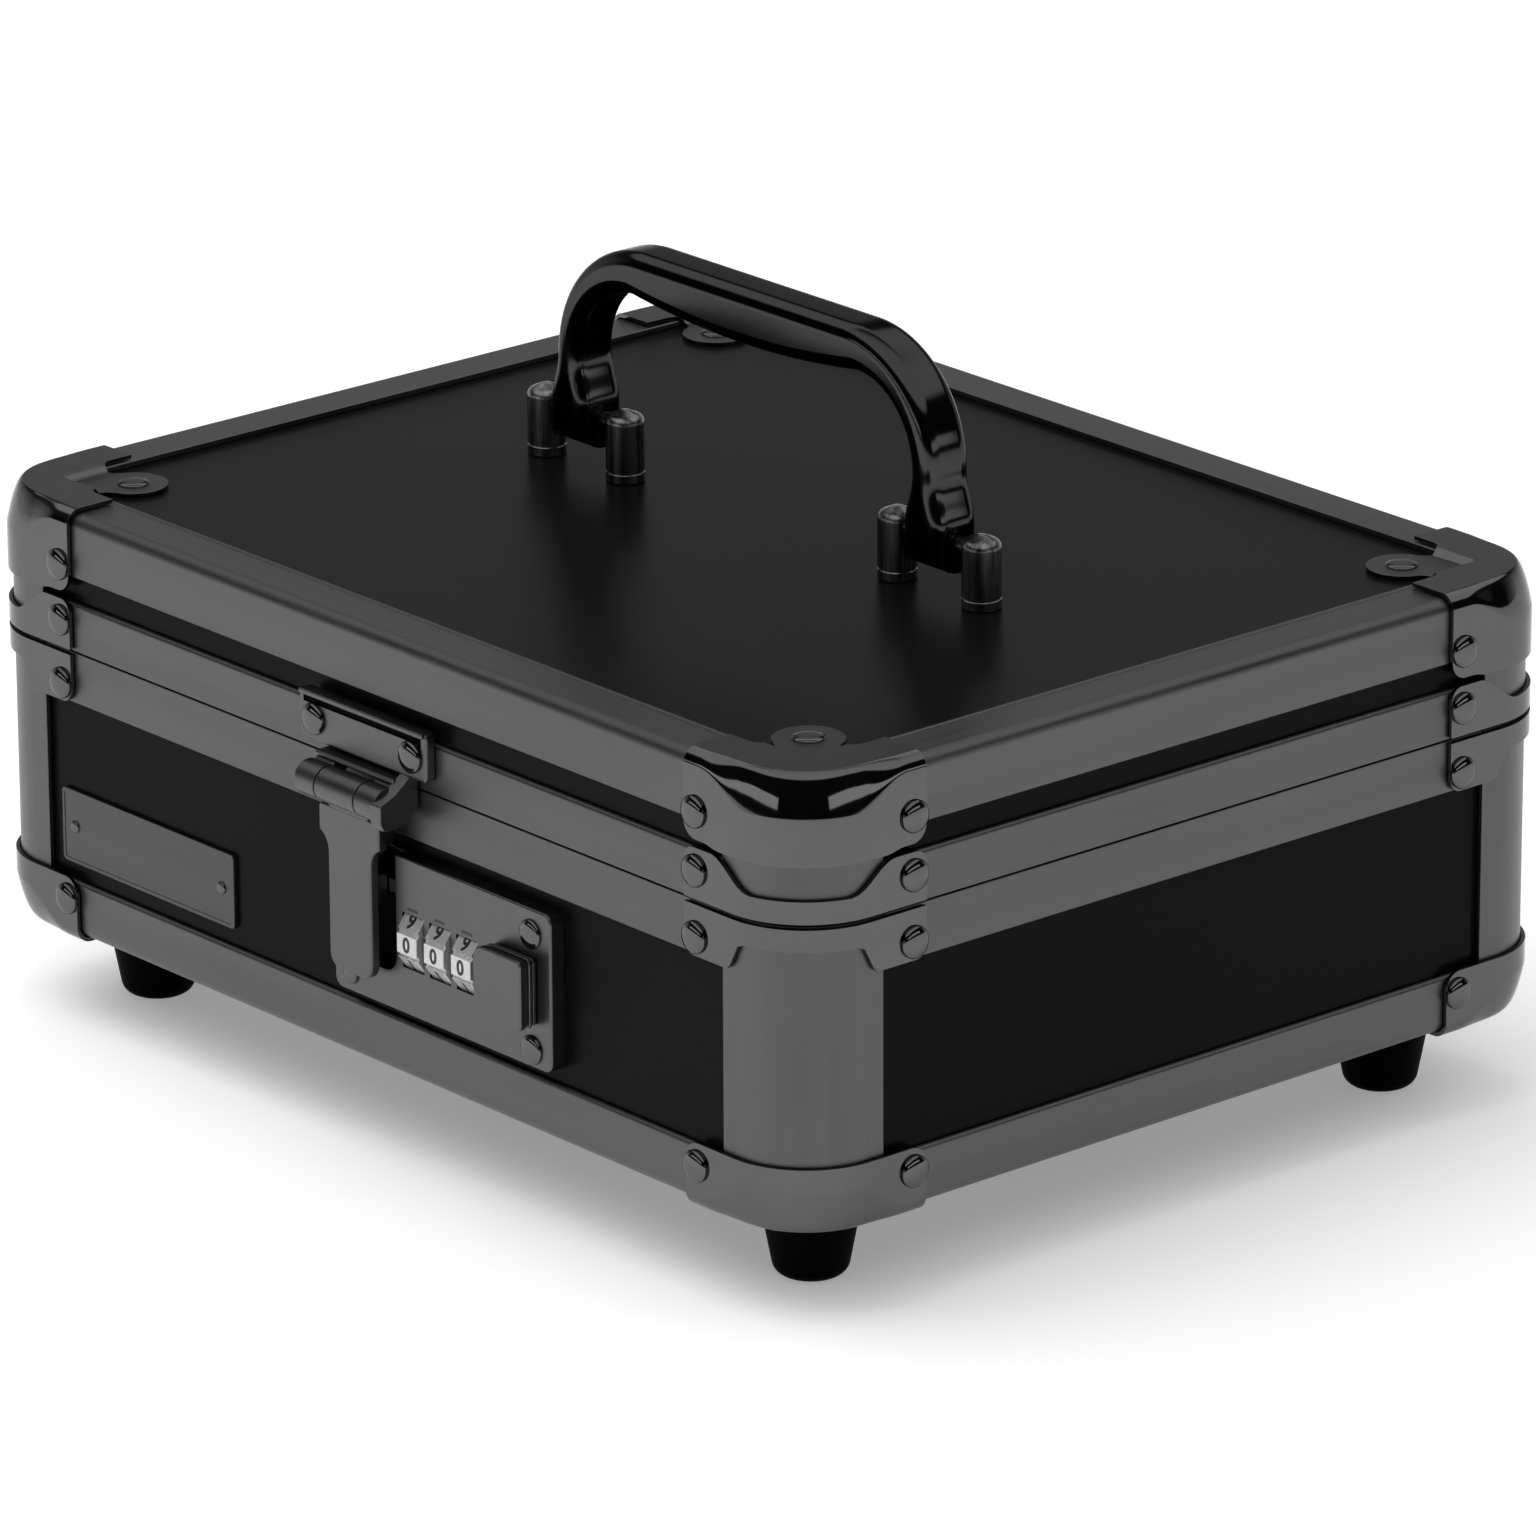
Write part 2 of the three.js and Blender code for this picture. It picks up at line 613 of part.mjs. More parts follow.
// Name plate without any lettering
function barePlate() {
  const { inset, above, width, height, thickness, round, pinInset, pinRadius, pinHeight } = namePlate;
  const back = -boardFace + touch;
  const left = inset - shellWidth / 2;
  const right = left + width;
  const low = bottomRailHeight + above;
  const plate = prism(roundedRectangle(left, right, low, low + height, round), back, back + thickness);
  const pins = [left + pinInset, right - pinInset].map((x) =>
    placed(rivetHead(pinRadius, pinHeight, pinHeight / 2, 8), [x, low + height / 2, back + thickness]));
  return join(plate, ...pins);
}
add(front, 'name_plate', barePlate(), aluminium);

// Lock plate with the hasp's pocket, the dial windows and the bolt's channel in its back
const boltFront = lock.proud - boltSkin - seat;
const boltBack = boltFront - bolt.thickness;
const dialPlaces = [0, 1, 2].map((i) => dialFirst + i * dialPitch);

function dialWindow(x) {
  const wide = dialWidth / 2 + running;
  return alongX(disc(dialHeight, dialCentre, dialRadius + running), x - wide, x + wide, 8);
}

function lockPlate() {
  const back = -boardFace + touch;
  const face = roundedRectangle(lock.left, lock.right, lockLow, lockHigh, lock.round);
  const body = softPrism(face, back - lock.edge, lock.proud, lock.edge, 1);
  const plate = common(body, block(lock.left, lock.right, lockLow, lockHigh, back, lock.proud));
  const pocketBody = prism(
    roundedRectangle(pocket.left, pocket.right, lockLow + pocket.above, 2 * lockHigh, pocket.round),
    back + pocket.floor, 2 * lock.proud);
  const channelFront = lock.proud - boltSkin;
  const channelEnd = boltTail.right + buttonTravel + running;
  const channel = join(
    block(pocket.right - pocket.floor, channelEnd, boltLow - running, boltHigh + running, 2 * back, channelFront),
    block(boltTail.left - running, channelEnd, boltTailLow - running, boltHigh + running, 2 * back, channelFront));
  const slot = block(
    stem.left - running, stem.right + buttonTravel + running,
    dialHeight - stem.below - running, dialHeight + stem.above + running, 0, 2 * lock.proud);
  const screwX = lock.right - lockScrew.right;
  const places = [
    [screwX, lockHigh - lockScrew.top], [screwX, lockLow + lockScrew.bottom],
    [lock.left + lockScrew.left, lockLow + lockScrew.bottom],
  ];
  const screws = places.map(([x, y]) => placed(rivetHead(lockScrew.radius, lockScrew.height), [x, y, lock.proud]));
  return join(cut(plate, pocketBody, channel, slot, ...dialPlaces.map(dialWindow)), ...screws);
}
add(front, 'lock_plate', lockPlate(), blackChrome);

// Dials: ten flats with a groove between each two
function dial() {
  const step = (2 * Math.PI) / dialFigures;
  const half = dialFlat / 2;
  const tooth = [[-half, dialRadius], [0, dialRadius], [half, dialRadius], [0.5, dialRadius - dialGroove]];
  const points = [];
  for (let i = 0; i < dialFigures; i += 1) {
    for (const [turn, radius] of tooth) {
      const angle = (i + 0.5 + turn) * step;
      points.push([radius * Math.cos(angle), radius * Math.sin(angle)]);
    }
  }
  const shape = outline(points);
  shape.holes.push(disc(0, 0, axleRadius + running));
  return alongX(shape, -dialWidth / 2, dialWidth / 2, 6);
}
dialPlaces.forEach((x, i) => {
  add(front, `dial_${i + 1}`, dial(), silver).position.set(x, dialHeight, dialCentre);
});

// Lock case behind the board, which carries the dials' axle
function caseBody() {
  const { left, right, below, above, depth, wall, bracketRise } = lockCase;
  const low = dialHeight - below;
  const high = dialHeight + above;
  const mouth = -boardFace - touch;
  const floor = mouth - depth;
  const box = cut(
    block(left, right, low, high, floor, mouth),
    block(left + wall, right - wall, low + wall, high - wall, floor + wall, depth));
  const bracketX = dialPlaces[2] + dialWidth / 2 + running;
  const bracket = block(
    bracketX, bracketX + wall, low + wall / 2, high - 3 * wall, floor + wall / 2, dialCentre + bracketRise);
  const axle = alongX(disc(dialHeight, dialCentre, axleRadius), left + wall / 2, bracketX + wall / 2, 6);
  return join(box, bracket, axle);
}
add(front, 'lock_case', caseBody(), steel);

// Slide button with its stem, and the bolt that it draws back
function slideButton() {
  const { left, right, below, above, proud, round, edge } = button;
  const low = dialHeight - below;
  const high = dialHeight + above;
  const back = lock.proud + running;
  const cap = common(
    softPrism(roundedRectangle(left, right, low, high, round), back - 2 * edge, lock.proud + proud, edge, 2),
    block(left, right, low, high, back, 2 * proud + lock.proud));
  const post = block(
    stem.left, stem.right, dialHeight - stem.below, dialHeight + stem.above, boltFront + touch, back + edge);
  return join(cap, post);
}
add(front, 'slide_button', slideButton(), blackChrome);

function lockBolt() {
  const noseEnd = catchLug.right + seat;
  const noseRoot = noseEnd + bolt.noseLength;
  return join(
    block(noseEnd, boltTail.right, boltLow, boltHigh, boltFront - bolt.noseThickness, boltFront),
    block(noseRoot, boltTail.right, boltLow, boltHigh, boltBack, boltFront),
    block(boltTail.left, boltTail.right, boltTailLow, boltHigh, boltBack, boltFront));
}
add(front, 'lock_bolt', lockBolt(), steel);

// Hasp plate with its outer knuckles, pin and cheek
const haspBack = seat;
const haspFront = seat + haspPlate.thickness;

function haspWeb(x0, x1) {
  const { proud } = haspAxis;
  const top = haspPlateLow + haspWebFoot;
  const web = outline([
    [haspHeight, proud - haspBarrelRadius], [haspHeight + haspBarrelRadius, proud], [top, haspFront],
    [top, haspBack], [haspHeight + haspWebFoot, haspBack],
  ]);
  return join(alongX(disc(haspHeight, proud, haspBarrelRadius), x0, x1, 8), alongX(web, x0, x1));
}

function haspHolder() {
  const left = haspMiddle - haspPlate.width / 2;
  const right = haspMiddle + haspPlate.width / 2;
  const plate = prism(
    roundedRectangle(left, right, haspPlateLow, haspPlateHigh, haspPlate.round), haspBack, haspFront);
  const lip = block(
    left + haspPlate.round, right - haspPlate.round, haspPlateHigh - haspPlate.lip, haspPlateHigh,
    haspFront - haspPlate.lipProud, haspFront + haspPlate.lipProud);
  const outer = haspBarrel / 2;
  const inner = haspKnuckle / 2 + running;
  const bury = haspPlate.lipProud;
  const pin = alongX(
    disc(haspHeight, haspAxis.proud, haspPinRadius), haspMiddle - outer + bury, haspMiddle + outer - bury, 6);
  const { thickness, reach, half, toe, chin, brow, nose, lean } = haspCheek;
  const low = haspHeight - half;
  const high = haspHeight + half;
  const cheekSide = outline([
    [low + chin, haspBack], [low, haspAxis.proud - lean], [low + nose / 2, reach - nose], [low + lean, reach],
    [haspHeight + brow, reach], [high - brow, haspAxis.proud], [high + toe, haspFront], [high + toe, haspBack],
  ]);
  const cheek = alongX(cheekSide, haspMiddle + outer - bury, haspMiddle + outer + thickness);
  const rivets = [-haspRivetX, haspRivetX].map((x) =>
    placed(rivetHead(), [haspMiddle + x, lidBottom + haspRivetAbove, haspFront]));
  return join(
    plate, lip, haspWeb(haspMiddle - outer, haspMiddle - inner), haspWeb(haspMiddle + inner, haspMiddle + outer),
    pin, cheek, ...rivets);
}
add(front, 'hasp_plate', haspHolder(), blackChrome);

const shoulderHigh = haspHeight - haspArm.shoulderDrop;
const shoulderLow = shoulderHigh - haspArm.shoulderHeight;

function armOutline() {
  const { tipGap, width, shoulderWidth, taper, flare } = haspArm;
  const end = lockLow + tipGap;
  const half = width / 2;
  const wide = shoulderWidth / 2;
  const bendHeight = shoulderLow - flare * taper;
  const shape = new THREE.Shape();
  shape.moveTo(half, end + half);
  shape.lineTo(half, shoulderLow - taper);
  shape.quadraticCurveTo(half + flare, bendHeight, wide, shoulderLow);
  shape.lineTo(wide, shoulderHigh);
  shape.lineTo(-wide, shoulderHigh);
  shape.lineTo(-wide, shoulderLow);
  shape.quadraticCurveTo(-half - flare, bendHeight, -half, shoulderLow - taper);
  shape.lineTo(-half, end + half);
  shape.absarc(0, end + half, half, Math.PI, 2 * Math.PI, false);
  return shape;
}

function armBody() {
  const { proud, thickness, edge, shoulderWidth, shoulderThickness } = haspArm;
  const half = haspKnuckle / 2;
  const wide = shoulderWidth / 2 - edge;
  const strap = softPrism(armOutline(), proud - thickness, proud, edge, 1, 4);
  const shoulder = block(
    -wide, wide, shoulderLow + edge, shoulderHigh, proud - shoulderThickness, proud - edge);
  const neck = block(-half, half, shoulderHigh - edge, haspHeight, proud - shoulderThickness + edge, proud);
  const barrel = alongX(disc(haspHeight, haspAxis.proud, haspBarrelRadius), -half, half, 8);
  const bore = alongX(disc(haspHeight, haspAxis.proud, haspPinRadius + running), -2 * half, 2 * half, 6);
  const { left, right, below, above, tip, notch, wall } = catchLug;
  const lug = cut(
    block(left, right, boltLow - below, boltHigh + above, -tip, proud - thickness + edge),
    block(right - notch, 2 * right, boltLow - seat, boltHigh + seat, wall - tip, boltFront + seat));
  return join(cut(join(strap, shoulder, neck, barrel), bore), placed(lug, [-haspMiddle, 0, 0]));
}
add(front, 'hasp_arm', armBody(), blackChrome).position.x = haspMiddle;

// Lid hinges: the back's frame has X to the left seen from behind, Y up and Z outwards
function leaf(upward, knuckles) {
  const half = hingeWidth / 2;
  const near = seamMiddle + upward * hingeGap;
  const farEdge = seamMiddle + upward * hingeLeafHeight;
  const plate = prism(
    roundedRectangle(-half, half, Math.min(near, farEdge), Math.max(near, farEdge), hingeLeaf / 2),
    seat, seat + hingeLeaf);
  const barrels = knuckles.map(([x0, x1]) =>
    alongX(disc(seamMiddle, hingeProud, hingeBarrelRadius), x0, x1, 6));
  const { radius, height, inset, rise } = hingeRivet;
  const heads = [-1, 0, 1].map((i) => placed(
    rivetHead(radius, height, height / 3, 8), [i * (half - inset), seamMiddle + upward * rise, seat + hingeLeaf]));
  return { plate, barrels, heads };
}

function lowerLeaf() {
  const half = hingeWidth / 2;
  const inner = hingeKnuckle / 2;
  const { plate, barrels, heads } = leaf(-1, [[-half, -inner], [inner, half]]);
  const room = alongX(disc(seamMiddle, hingeProud, hingeBarrelRadius + running), -inner, inner, 6);
  const end = half - hingeLeaf;
  const pin = alongX(disc(seamMiddle, hingeProud, hingePinRadius), -end, end, 5);
  return join(cut(plate, room), ...barrels, pin, ...heads);
}

function upperLeaf() {
  const half = hingeWidth / 2;
  const inner = hingeKnuckle / 2;
  const { plate, barrels, heads } = leaf(1, [[-inner + running, inner - running]]);
  const room = [[-2 * half, -inner + running], [inner - running, 2 * half]].map(([x0, x1]) =>
    alongX(disc(seamMiddle, hingeProud, hingeBarrelRadius + running), x0, x1, 6));
  const bore = alongX(disc(seamMiddle, hingeProud, hingePinRadius + running), -half, half, 5);
  return join(cut(join(cut(plate, ...room), ...barrels), bore), ...heads);
}

for (const [side, x] of [['left', hingeX], ['right', -hingeX]]) {
  add(back, `hinge_leaf_lower_${side}`, lowerLeaf(), steel).position.x = x;
  add(back, `hinge_leaf_upper_${side}`, upperLeaf(), steel).position.x = x;
}

// Handle, on the middle of the lid's board
const handleFrame = new THREE.Group();
handleFrame.position.z = lidBoardTop;
shell.add(handleFrame);

function handleOutline() {
  const { legX, legWidth, outerRadius, innerRadius, top, grip, gripMiddle, footWidth, footRadius } = handle;
  const { flareLow, flareHigh, flareBend, swell } = handle;
  const outer = legX + legWidth / 2;
  const inner = legX - legWidth / 2;
  const footOuter = legX + footWidth / 2;
  const footInner = legX - footWidth / 2;
  const low = pivotHeight - footRadius;
  const flareMiddle = (flareLow + flareHigh) / 2;
  const flareStart = flareMiddle - flareBend;
  const under = top - grip;
  const bulge = swell * (inner - innerRadius);
  const shape = new THREE.Shape();
  shape.moveTo(footInner, low);
  shape.lineTo(footOuter, low);
  shape.lineTo(footOuter, flareLow);
  shape.bezierCurveTo(footOuter, flareStart, outer, flareMiddle, outer, top - outerRadius);
  shape.absarc(outer - outerRadius, top - outerRadius, outerRadius, 0, Math.PI / 2, false);
  shape.lineTo(-outer + outerRadius, top);
  shape.absarc(-outer + outerRadius, top - outerRadius, outerRadius, Math.PI / 2, Math.PI, false);
  shape.bezierCurveTo(-outer, flareMiddle, -footOuter, flareStart, -footOuter, flareLow);
  shape.lineTo(-footOuter, low);
  shape.lineTo(-footInner, low);
  shape.lineTo(-footInner, flareLow);
  shape.bezierCurveTo(-footInner, flareStart, -inner, flareMiddle, -inner, under - innerRadius);
  shape.absarc(-inner + innerRadius, under - innerRadius, innerRadius, Math.PI, Math.PI / 2, true);
  shape.bezierCurveTo(-bulge, top - gripMiddle, bulge, top - gripMiddle, inner - innerRadius, under);
  shape.absarc(inner - innerRadius, under - innerRadius, innerRadius, Math.PI / 2, 0, true);
  shape.bezierCurveTo(inner, flareMiddle, footInner, flareStart, footInner, flareLow);
  return shape;
}

function handleBody() {
  const { legX, depth, edge, footWidth, footRadius, top } = handle;
  const flat = softPrism(handleOutline(), -depth / 2, depth / 2, edge, 2, 4);
  const cast = placed(flat, [0, 0, 0], [Math.PI / 2, 0, 0]);
  const keep = (x) => join(
    alongX(disc(0, pivotHeight, footRadius), x - footWidth, x + footWidth, 8),
    block(x - footWidth, x + footWidth, -depth, depth, pivotHeight, 2 * top));
  const between = block(-legX, legX, -depth, depth, pivotHeight, 2 * top);
  const bore = alongX(disc(0, pivotHeight, pivotPinRadius + running), -2 * legX, 2 * legX, 6);
  return cut(common(cast, join(keep(-legX), keep(legX), between)), bore);
}
add(handleFrame, 'handle', handleBody(), blackChrome);

function handlePosts(middle) {
  const post = turned([
    [0, touch], [postRadius, touch], [postRadius, postHeight - postDome],
    ...postDomeSteps.map(([wide, drop]) => [wide * postRadius, postHeight - drop * postDome]),
    [0, postHeight],
  ], 16);
  const pin = alongX(disc(0, pivotHeight, pivotPinRadius), middle - postOffset, middle + postOffset, 6);
  return join(pin, placed(post, [middle - postOffset, 0, 0]), placed(post, [middle + postOffset, 0, 0]));
}
add(handleFrame, 'handle_posts_left', handlePosts(-handle.legX), blackChrome);
add(handleFrame, 'handle_posts_right', handlePosts(handle.legX), blackChrome);

// Coin tray, which lifts off its ledges
const trayTop = baseHeight - tray.topDrop;
const trayBottom = trayTop - tray.height;
const trayX = shellWidth / 2 - tray.sideGap;
const trayFront = -shellDepth / 2 + tray.frontGap;
const trayBack = shellDepth / 2 - tray.sideGap;

function wells(count, y0, y1) {
  const width = (2 * trayX - (count + 1) * tray.wall) / count;
  return Array.from({ length: count }, (_, i) => {
    const left = -trayX + tray.wall + i * (width + tray.wall);
    const shape = roundedRectangle(left, left + width, y0, y1, wellRound);
    return softPrism(shape, trayBottom + tray.floor, trayTop + 2 * wellRound, wellRound / 2, 1, 1);
  });
}

function coinTray() {
  const divider = trayFront + tray.frontRow;
  const body = prism(roundedRectangle(-trayX, trayX, trayFront, trayBack, tray.round), trayBottom, trayTop);
  return cut(
    body, ...wells(coinCups, trayFront + tray.wall, divider - tray.wall / 2),
    ...wells(noteWells, divider + tray.wall / 2, trayBack - tray.wall));
}
add(shell, 'coin_tray', coinTray(), blackPlastic);

export default object;
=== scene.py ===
"""Combination cash box: the looks of its boards, edge profiles, plated corners, handle, hasp and dial lock."""
import math

import bmesh
import bpy
from mathutils import Matrix, Vector


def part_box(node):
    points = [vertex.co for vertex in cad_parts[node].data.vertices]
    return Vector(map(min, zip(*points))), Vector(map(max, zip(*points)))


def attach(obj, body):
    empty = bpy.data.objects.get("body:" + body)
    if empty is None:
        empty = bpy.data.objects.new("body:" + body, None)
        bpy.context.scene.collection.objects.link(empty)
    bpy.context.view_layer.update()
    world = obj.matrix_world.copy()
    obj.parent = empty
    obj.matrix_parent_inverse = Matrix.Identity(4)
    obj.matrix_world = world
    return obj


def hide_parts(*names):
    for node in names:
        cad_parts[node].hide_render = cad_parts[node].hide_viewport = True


bl_info = {
    "name": "Combination cash box",
    "version": (1, 0, 0),
    "blender": (4, 5, 0),
    "location": "3D View > Sidebar > Cash box",
    "description": "Builds the cash box piece by piece around its packed frame",
    "category": "Object",
}

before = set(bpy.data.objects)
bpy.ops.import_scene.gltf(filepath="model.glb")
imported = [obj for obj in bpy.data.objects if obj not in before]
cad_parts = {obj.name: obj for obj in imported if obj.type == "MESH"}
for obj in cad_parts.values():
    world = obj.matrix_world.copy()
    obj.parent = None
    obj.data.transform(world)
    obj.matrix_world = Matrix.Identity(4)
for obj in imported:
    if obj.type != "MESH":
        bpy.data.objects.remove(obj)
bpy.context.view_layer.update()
MM = 0.001
CLOSE = 1e-6  # two places nearer than this are the same
SQUARE = 60  # degrees from which an edge counts as square, so that round sides stay as they are
SHARP = 50  # the same for profiles with slanting sides

# Places read from the frame
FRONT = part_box("bottom_rail_front")[0].y
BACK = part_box("bottom_rail_back")[1].y
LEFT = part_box("bottom_rail_left")[0].x
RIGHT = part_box("bottom_rail_right")[1].x
MIDDLE_Y = (FRONT + BACK) / 2
BASE_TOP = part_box("base_corner_post_front_left")[1].z
LID_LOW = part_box("lid_rim_rail_front")[0].z
FOOT_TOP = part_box("foot_front_left")[1].z
BOARD_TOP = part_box("lid_board_box")[1].z
SEAM = (BASE_TOP + LID_LOW) / 2
RAILS_LOW = 21.5 * MM  # flat underside of the bottom rails

SIDES = ("front", "right", "back", "left")
CORNERS = ("front_left", "front_right", "back_right", "back_left")


def length(name, millimetres, description):
    """A length that a user may change, given in millimetres."""
    return bpy.props.FloatProperty(
        name=name, description=description, default=millimetres * MM, unit="LENGTH", precision=5)


def shade(name, colour, description):
    """A colour that a user may change."""
    return bpy.props.FloatVectorProperty(
        name=name, description=description, default=colour, subtype="COLOR", size=3, min=0, max=1)


class ShellSizes(bpy.types.PropertyGroup):
    """Sizes of the edge profiles and of the boards between them."""
    wall: length("Profile wall", 1.2, "Thickness of the aluminium")
    corner: length("Corner radius", 19.5, "Outer radius of the box's upright corners")
    edge: length("Edge radius", 3, "Radius of the rounded long edges")
    lip: length("Lip width", 13.4, "How far the rails lie over the flat boards")
    bead: length("Bead width", 0.9, "Width of the fine bead along each lip")
    bead_height: length("Bead height", 0.2, "Height of the fine bead along each lip")
    bottom_rail: length("Bottom rail", 13.5, "Height of the bottom rails")
    top_rail: length("Top rail", 14.6, "Height of the top rails")
    base_rim: length("Base rim", 12.1, "Height of the base's rim rails")
    lid_rim: length("Lid rim", 11.4, "Height of the lid's rim rails")
    rim_inner: length("Rim inner leg", 7, "Height of the rim rails' inner leg")
    tongue_inset: length("Tongue inset", 2.2, "From the rails' face to the tongue on the base's rim")
    tongue: length("Tongue height", 1.6, "Height of the tongue above the base's rim")
    groove: length("Groove depth", 1.9, "Depth of the lid rim's groove")
    strip: length("Strip reach", 24.1, "How far the corner strips reach along each side")
    board_face: length("Board recess", 1.5, "From the rails' face to the boards")
    board: length("Board thickness", 6, "Thickness of the boards")
    fit: length("Fit", 0.3, "Gap between pieces that lie against each other")
    foot_inset: length("Foot inset", 27.5, "From the sharp corner to the middle of a foot")


class CornerSizes(bpy.types.PropertyGroup):
    """Sizes of the plated corner caps, the rim clamps and their rivets."""
    plate: length("Plate thickness", 0.9, "Thickness of the plated steel")
    drop: length("Corner drop", 10.2, "Height of the caps' rounding at the corner")
    inwards: length("Corner inset", 4, "Width of the caps' rounding at the corner")
    round_: length("Cap rounding", 3.7, "Radius of the caps' rounding along the sides")
    reach: length("Cap reach", 35.2, "How far the caps and clamps reach along each side")
    leg: length("Leg width", 12, "Width of the caps' legs on the flat rails")
    tab_round: length("Tab rounding", 4, "Rounding of the caps' tabs")
    clamp_round: length("Clamp rounding", 3, "Rounding of the clamps' tabs")
    top_tab: length("Top tab", 18.4, "Height of the top caps' tabs")
    top_skirt: length("Top skirt", 19.2, "Height of the top caps at the corner")
    bottom_tab: length("Bottom tab", 14.5, "Height of the bottom caps")
    ear_inset: length("Ear inset", 25.4, "From the sharp corner to the top caps' riveted ear")
    ear: length("Ear radius", 8, "Radius of the top caps' ear")
    ear_step: length("Ear step", 1.45, "From the top caps' flange down to the ear on the board")
    fillet: length("Ear fillet", 3, "Fillets between the ear and the legs")
    foot_ear: length("Foot ear radius", 12.3, "Radius of the bottom caps' ear over a foot")
    clamp_tab: length("Clamp tab", 11.6, "Height of the rim clamps' tabs")
    clamp_band: length("Clamp band", 5.1, "Height of the rim clamps' band round the corner")
    clamp_gap: length("Clamp gap", 0.4, "From the seam's edge to the clamps")
    rivet: length("Rivet radius", 3.7, "Radius of the rivet heads")
    rivet_height: length("Rivet height", 1.7, "Height of the rivet heads")
    ear_rivet: length("Ear rivet height", 0.8, "Height of the flatter rivet heads on the top caps' ears")
    rivet_inset: length("Rivet inset", 31.7, "From the sharp corner to the rivets")


class LockSizes(bpy.types.PropertyGroup):
    """Sizes of the name plate, the lock plate, the dials and the slide button."""
    proud: length("Lock plate front", 2.4, "From the rails' face to the front of the lock plate")
    chamfer: length("Lock plate edge", 0.6, "Rounding of the lock plate's front edges")
    pocket_left: length("Pocket left", -9.1, "Left side of the hasp's pocket")
    pocket_right: length("Pocket right", 11, "Right side of the hasp's pocket")
    pocket_rise: length("Pocket rise", 8.6, "From the plate's lower edge to the pocket")
    screw: length("Screw radius", 3.4, "Radius of the lock plate's screws")
    dial: length("Dial radius", 9, "Radius of the number dials")
    dial_width: length("Dial width", 6.8, "Width of a dial")
    dial_first: length("First dial", 16.8, "Middle of the left dial")
    dial_pitch: length("Dial pitch", 9.3, "From one dial to the next")
    dial_groove: length("Dial groove", 0.55, "Depth of the grooves between the figures")
    figure: length("Figure height", 3.5, "Height of the figures on the dials")
    running: length("Running gap", 0.3, "Gap round moving pieces")


class HaspSizes(bpy.types.PropertyGroup):
    """Sizes of the hasp plate and its arm."""
    middle: length("Hasp middle", 0.5, "Middle of the hasp along the front")
    barrel: length("Barrel radius", 4.1, "Radius of the hasp's knuckles")
    barrel_width: length("Barrel width", 27.4, "Width over the hasp's knuckles")
    knuckle: length("Arm knuckle", 13.4, "Width of the arm's own knuckle")
    pin: length("Pin radius", 1.6, "Radius of the hasp's pin")
    arm_front: length("Arm front", 7, "From the rails' face to the front of the arm")
    arm_width: length("Arm width", 14.7, "Width of the arm's strap")
    shoulder_width: length("Shoulder width", 20.8, "Width of the arm's shoulder")
    strap_round: length("Strap rounding", 3.5, "Radius of the corners at the strap's end")


class HandleSizes(bpy.types.PropertyGroup):
    """Sizes of the handle and its posts."""
    leg: length("Leg place", 60.5, "From the middle of the lid to the middle of a leg")
    leg_width: length("Leg width", 7.8, "Width of a leg above its foot")
    outer: length("Outer bend", 29, "Radius of the handle's outer bends")
    inner: length("Inner bend", 18.5, "Radius of the handle's inner bends")
    top: length("Handle height", 57, "Height of the handle above the lid")
    grip: length("Grip height", 10.4, "Height of the grip at its ends")
    grip_middle: length("Grip middle", 14.2, "Depth that the grip's underside swells to")
    depth: length("Handle depth", 13, "Depth of the handle from front to back")
    edge: length("Handle edge", 3.6, "Rounding of the handle's edges")
    foot_width: length("Foot width", 13, "Width of a leg at its foot")
    foot: length("Foot radius", 6.7, "Radius round the handle's pin")
    pivot: length("Pivot height", 12.7, "Height of the handle's pins above the lid")
    pin: length("Pin radius", 2, "Radius of the handle's pins")
    post: length("Post radius", 4.5, "Radius of the posts")
    post_height: length("Post height", 16.8, "Height of the posts")
    post_offset: length("Post offset", 13.9, "From the middle of a leg to each of its posts")


class Finishes(bpy.types.PropertyGroup):
    """Colours of the finishes."""
    aluminium: shade("Aluminium", (0.112, 0.112, 0.1135), "Brushed edge profiles")
    name_plate: shade("Name plate", (0.084, 0.084, 0.085), "Bare name plate")
    plated: shade("Plated steel", (0.112, 0.112, 0.1135), "Corner caps, rim clamps and rivets")
    black_chrome: shade("Black chrome", (0.05, 0.05, 0.052), "Handle")
    # The posts' colour is lighter than the handle's black chrome and carries painted highlight streaks.
    posts: shade("Posts", (0.17, 0.17, 0.172), "Turned posts of the handle")
    laminate: shade("Laminate", (0.003, 0.003, 0.0031), "Faces of the boards")
    rubber: shade("Rubber", (0.001, 0.001, 0.001), "Feet")
    dial: shade("Dials", (0.62, 0.62, 0.63), "Number wheels")
    ink: shade("Figures", (0.01, 0.01, 0.01), "Figures on the dials")
    steel: shade("Steel", (0.3, 0.3, 0.31), "Hinges, bolt and lock case")
    tray: shade("Tray", (0.016, 0.016, 0.017), "Moulded coin tray")
    floor: shade("Floor", (0.86, 0.86, 0.86), "Floor of the studio")


def settings(group):
    """The user's values in one of the property groups."""
    return getattr(bpy.context.scene, f"cash_box_{group}")


# Frames that pieces are drawn in

def outline_frame(name):
    """X along a side or away from a sharp corner, Y inwards from the rails' face, Z up."""
    places = {
        "front": (0, FRONT, 0), "right": (RIGHT, MIDDLE_Y, 90), "back": (0, BACK, 180), "left": (LEFT, MIDDLE_Y, -90),
        "front_left": (LEFT, FRONT, 0), "front_right": (RIGHT, FRONT, 90), "back_right": (RIGHT, BACK, 180),
        "back_left": (LEFT, BACK, -90),
    }
    x, y, turn = places[name]
    return Matrix.Translation((x, y, 0)) @ Matrix.Rotation(math.radians(turn), 4, "Z")


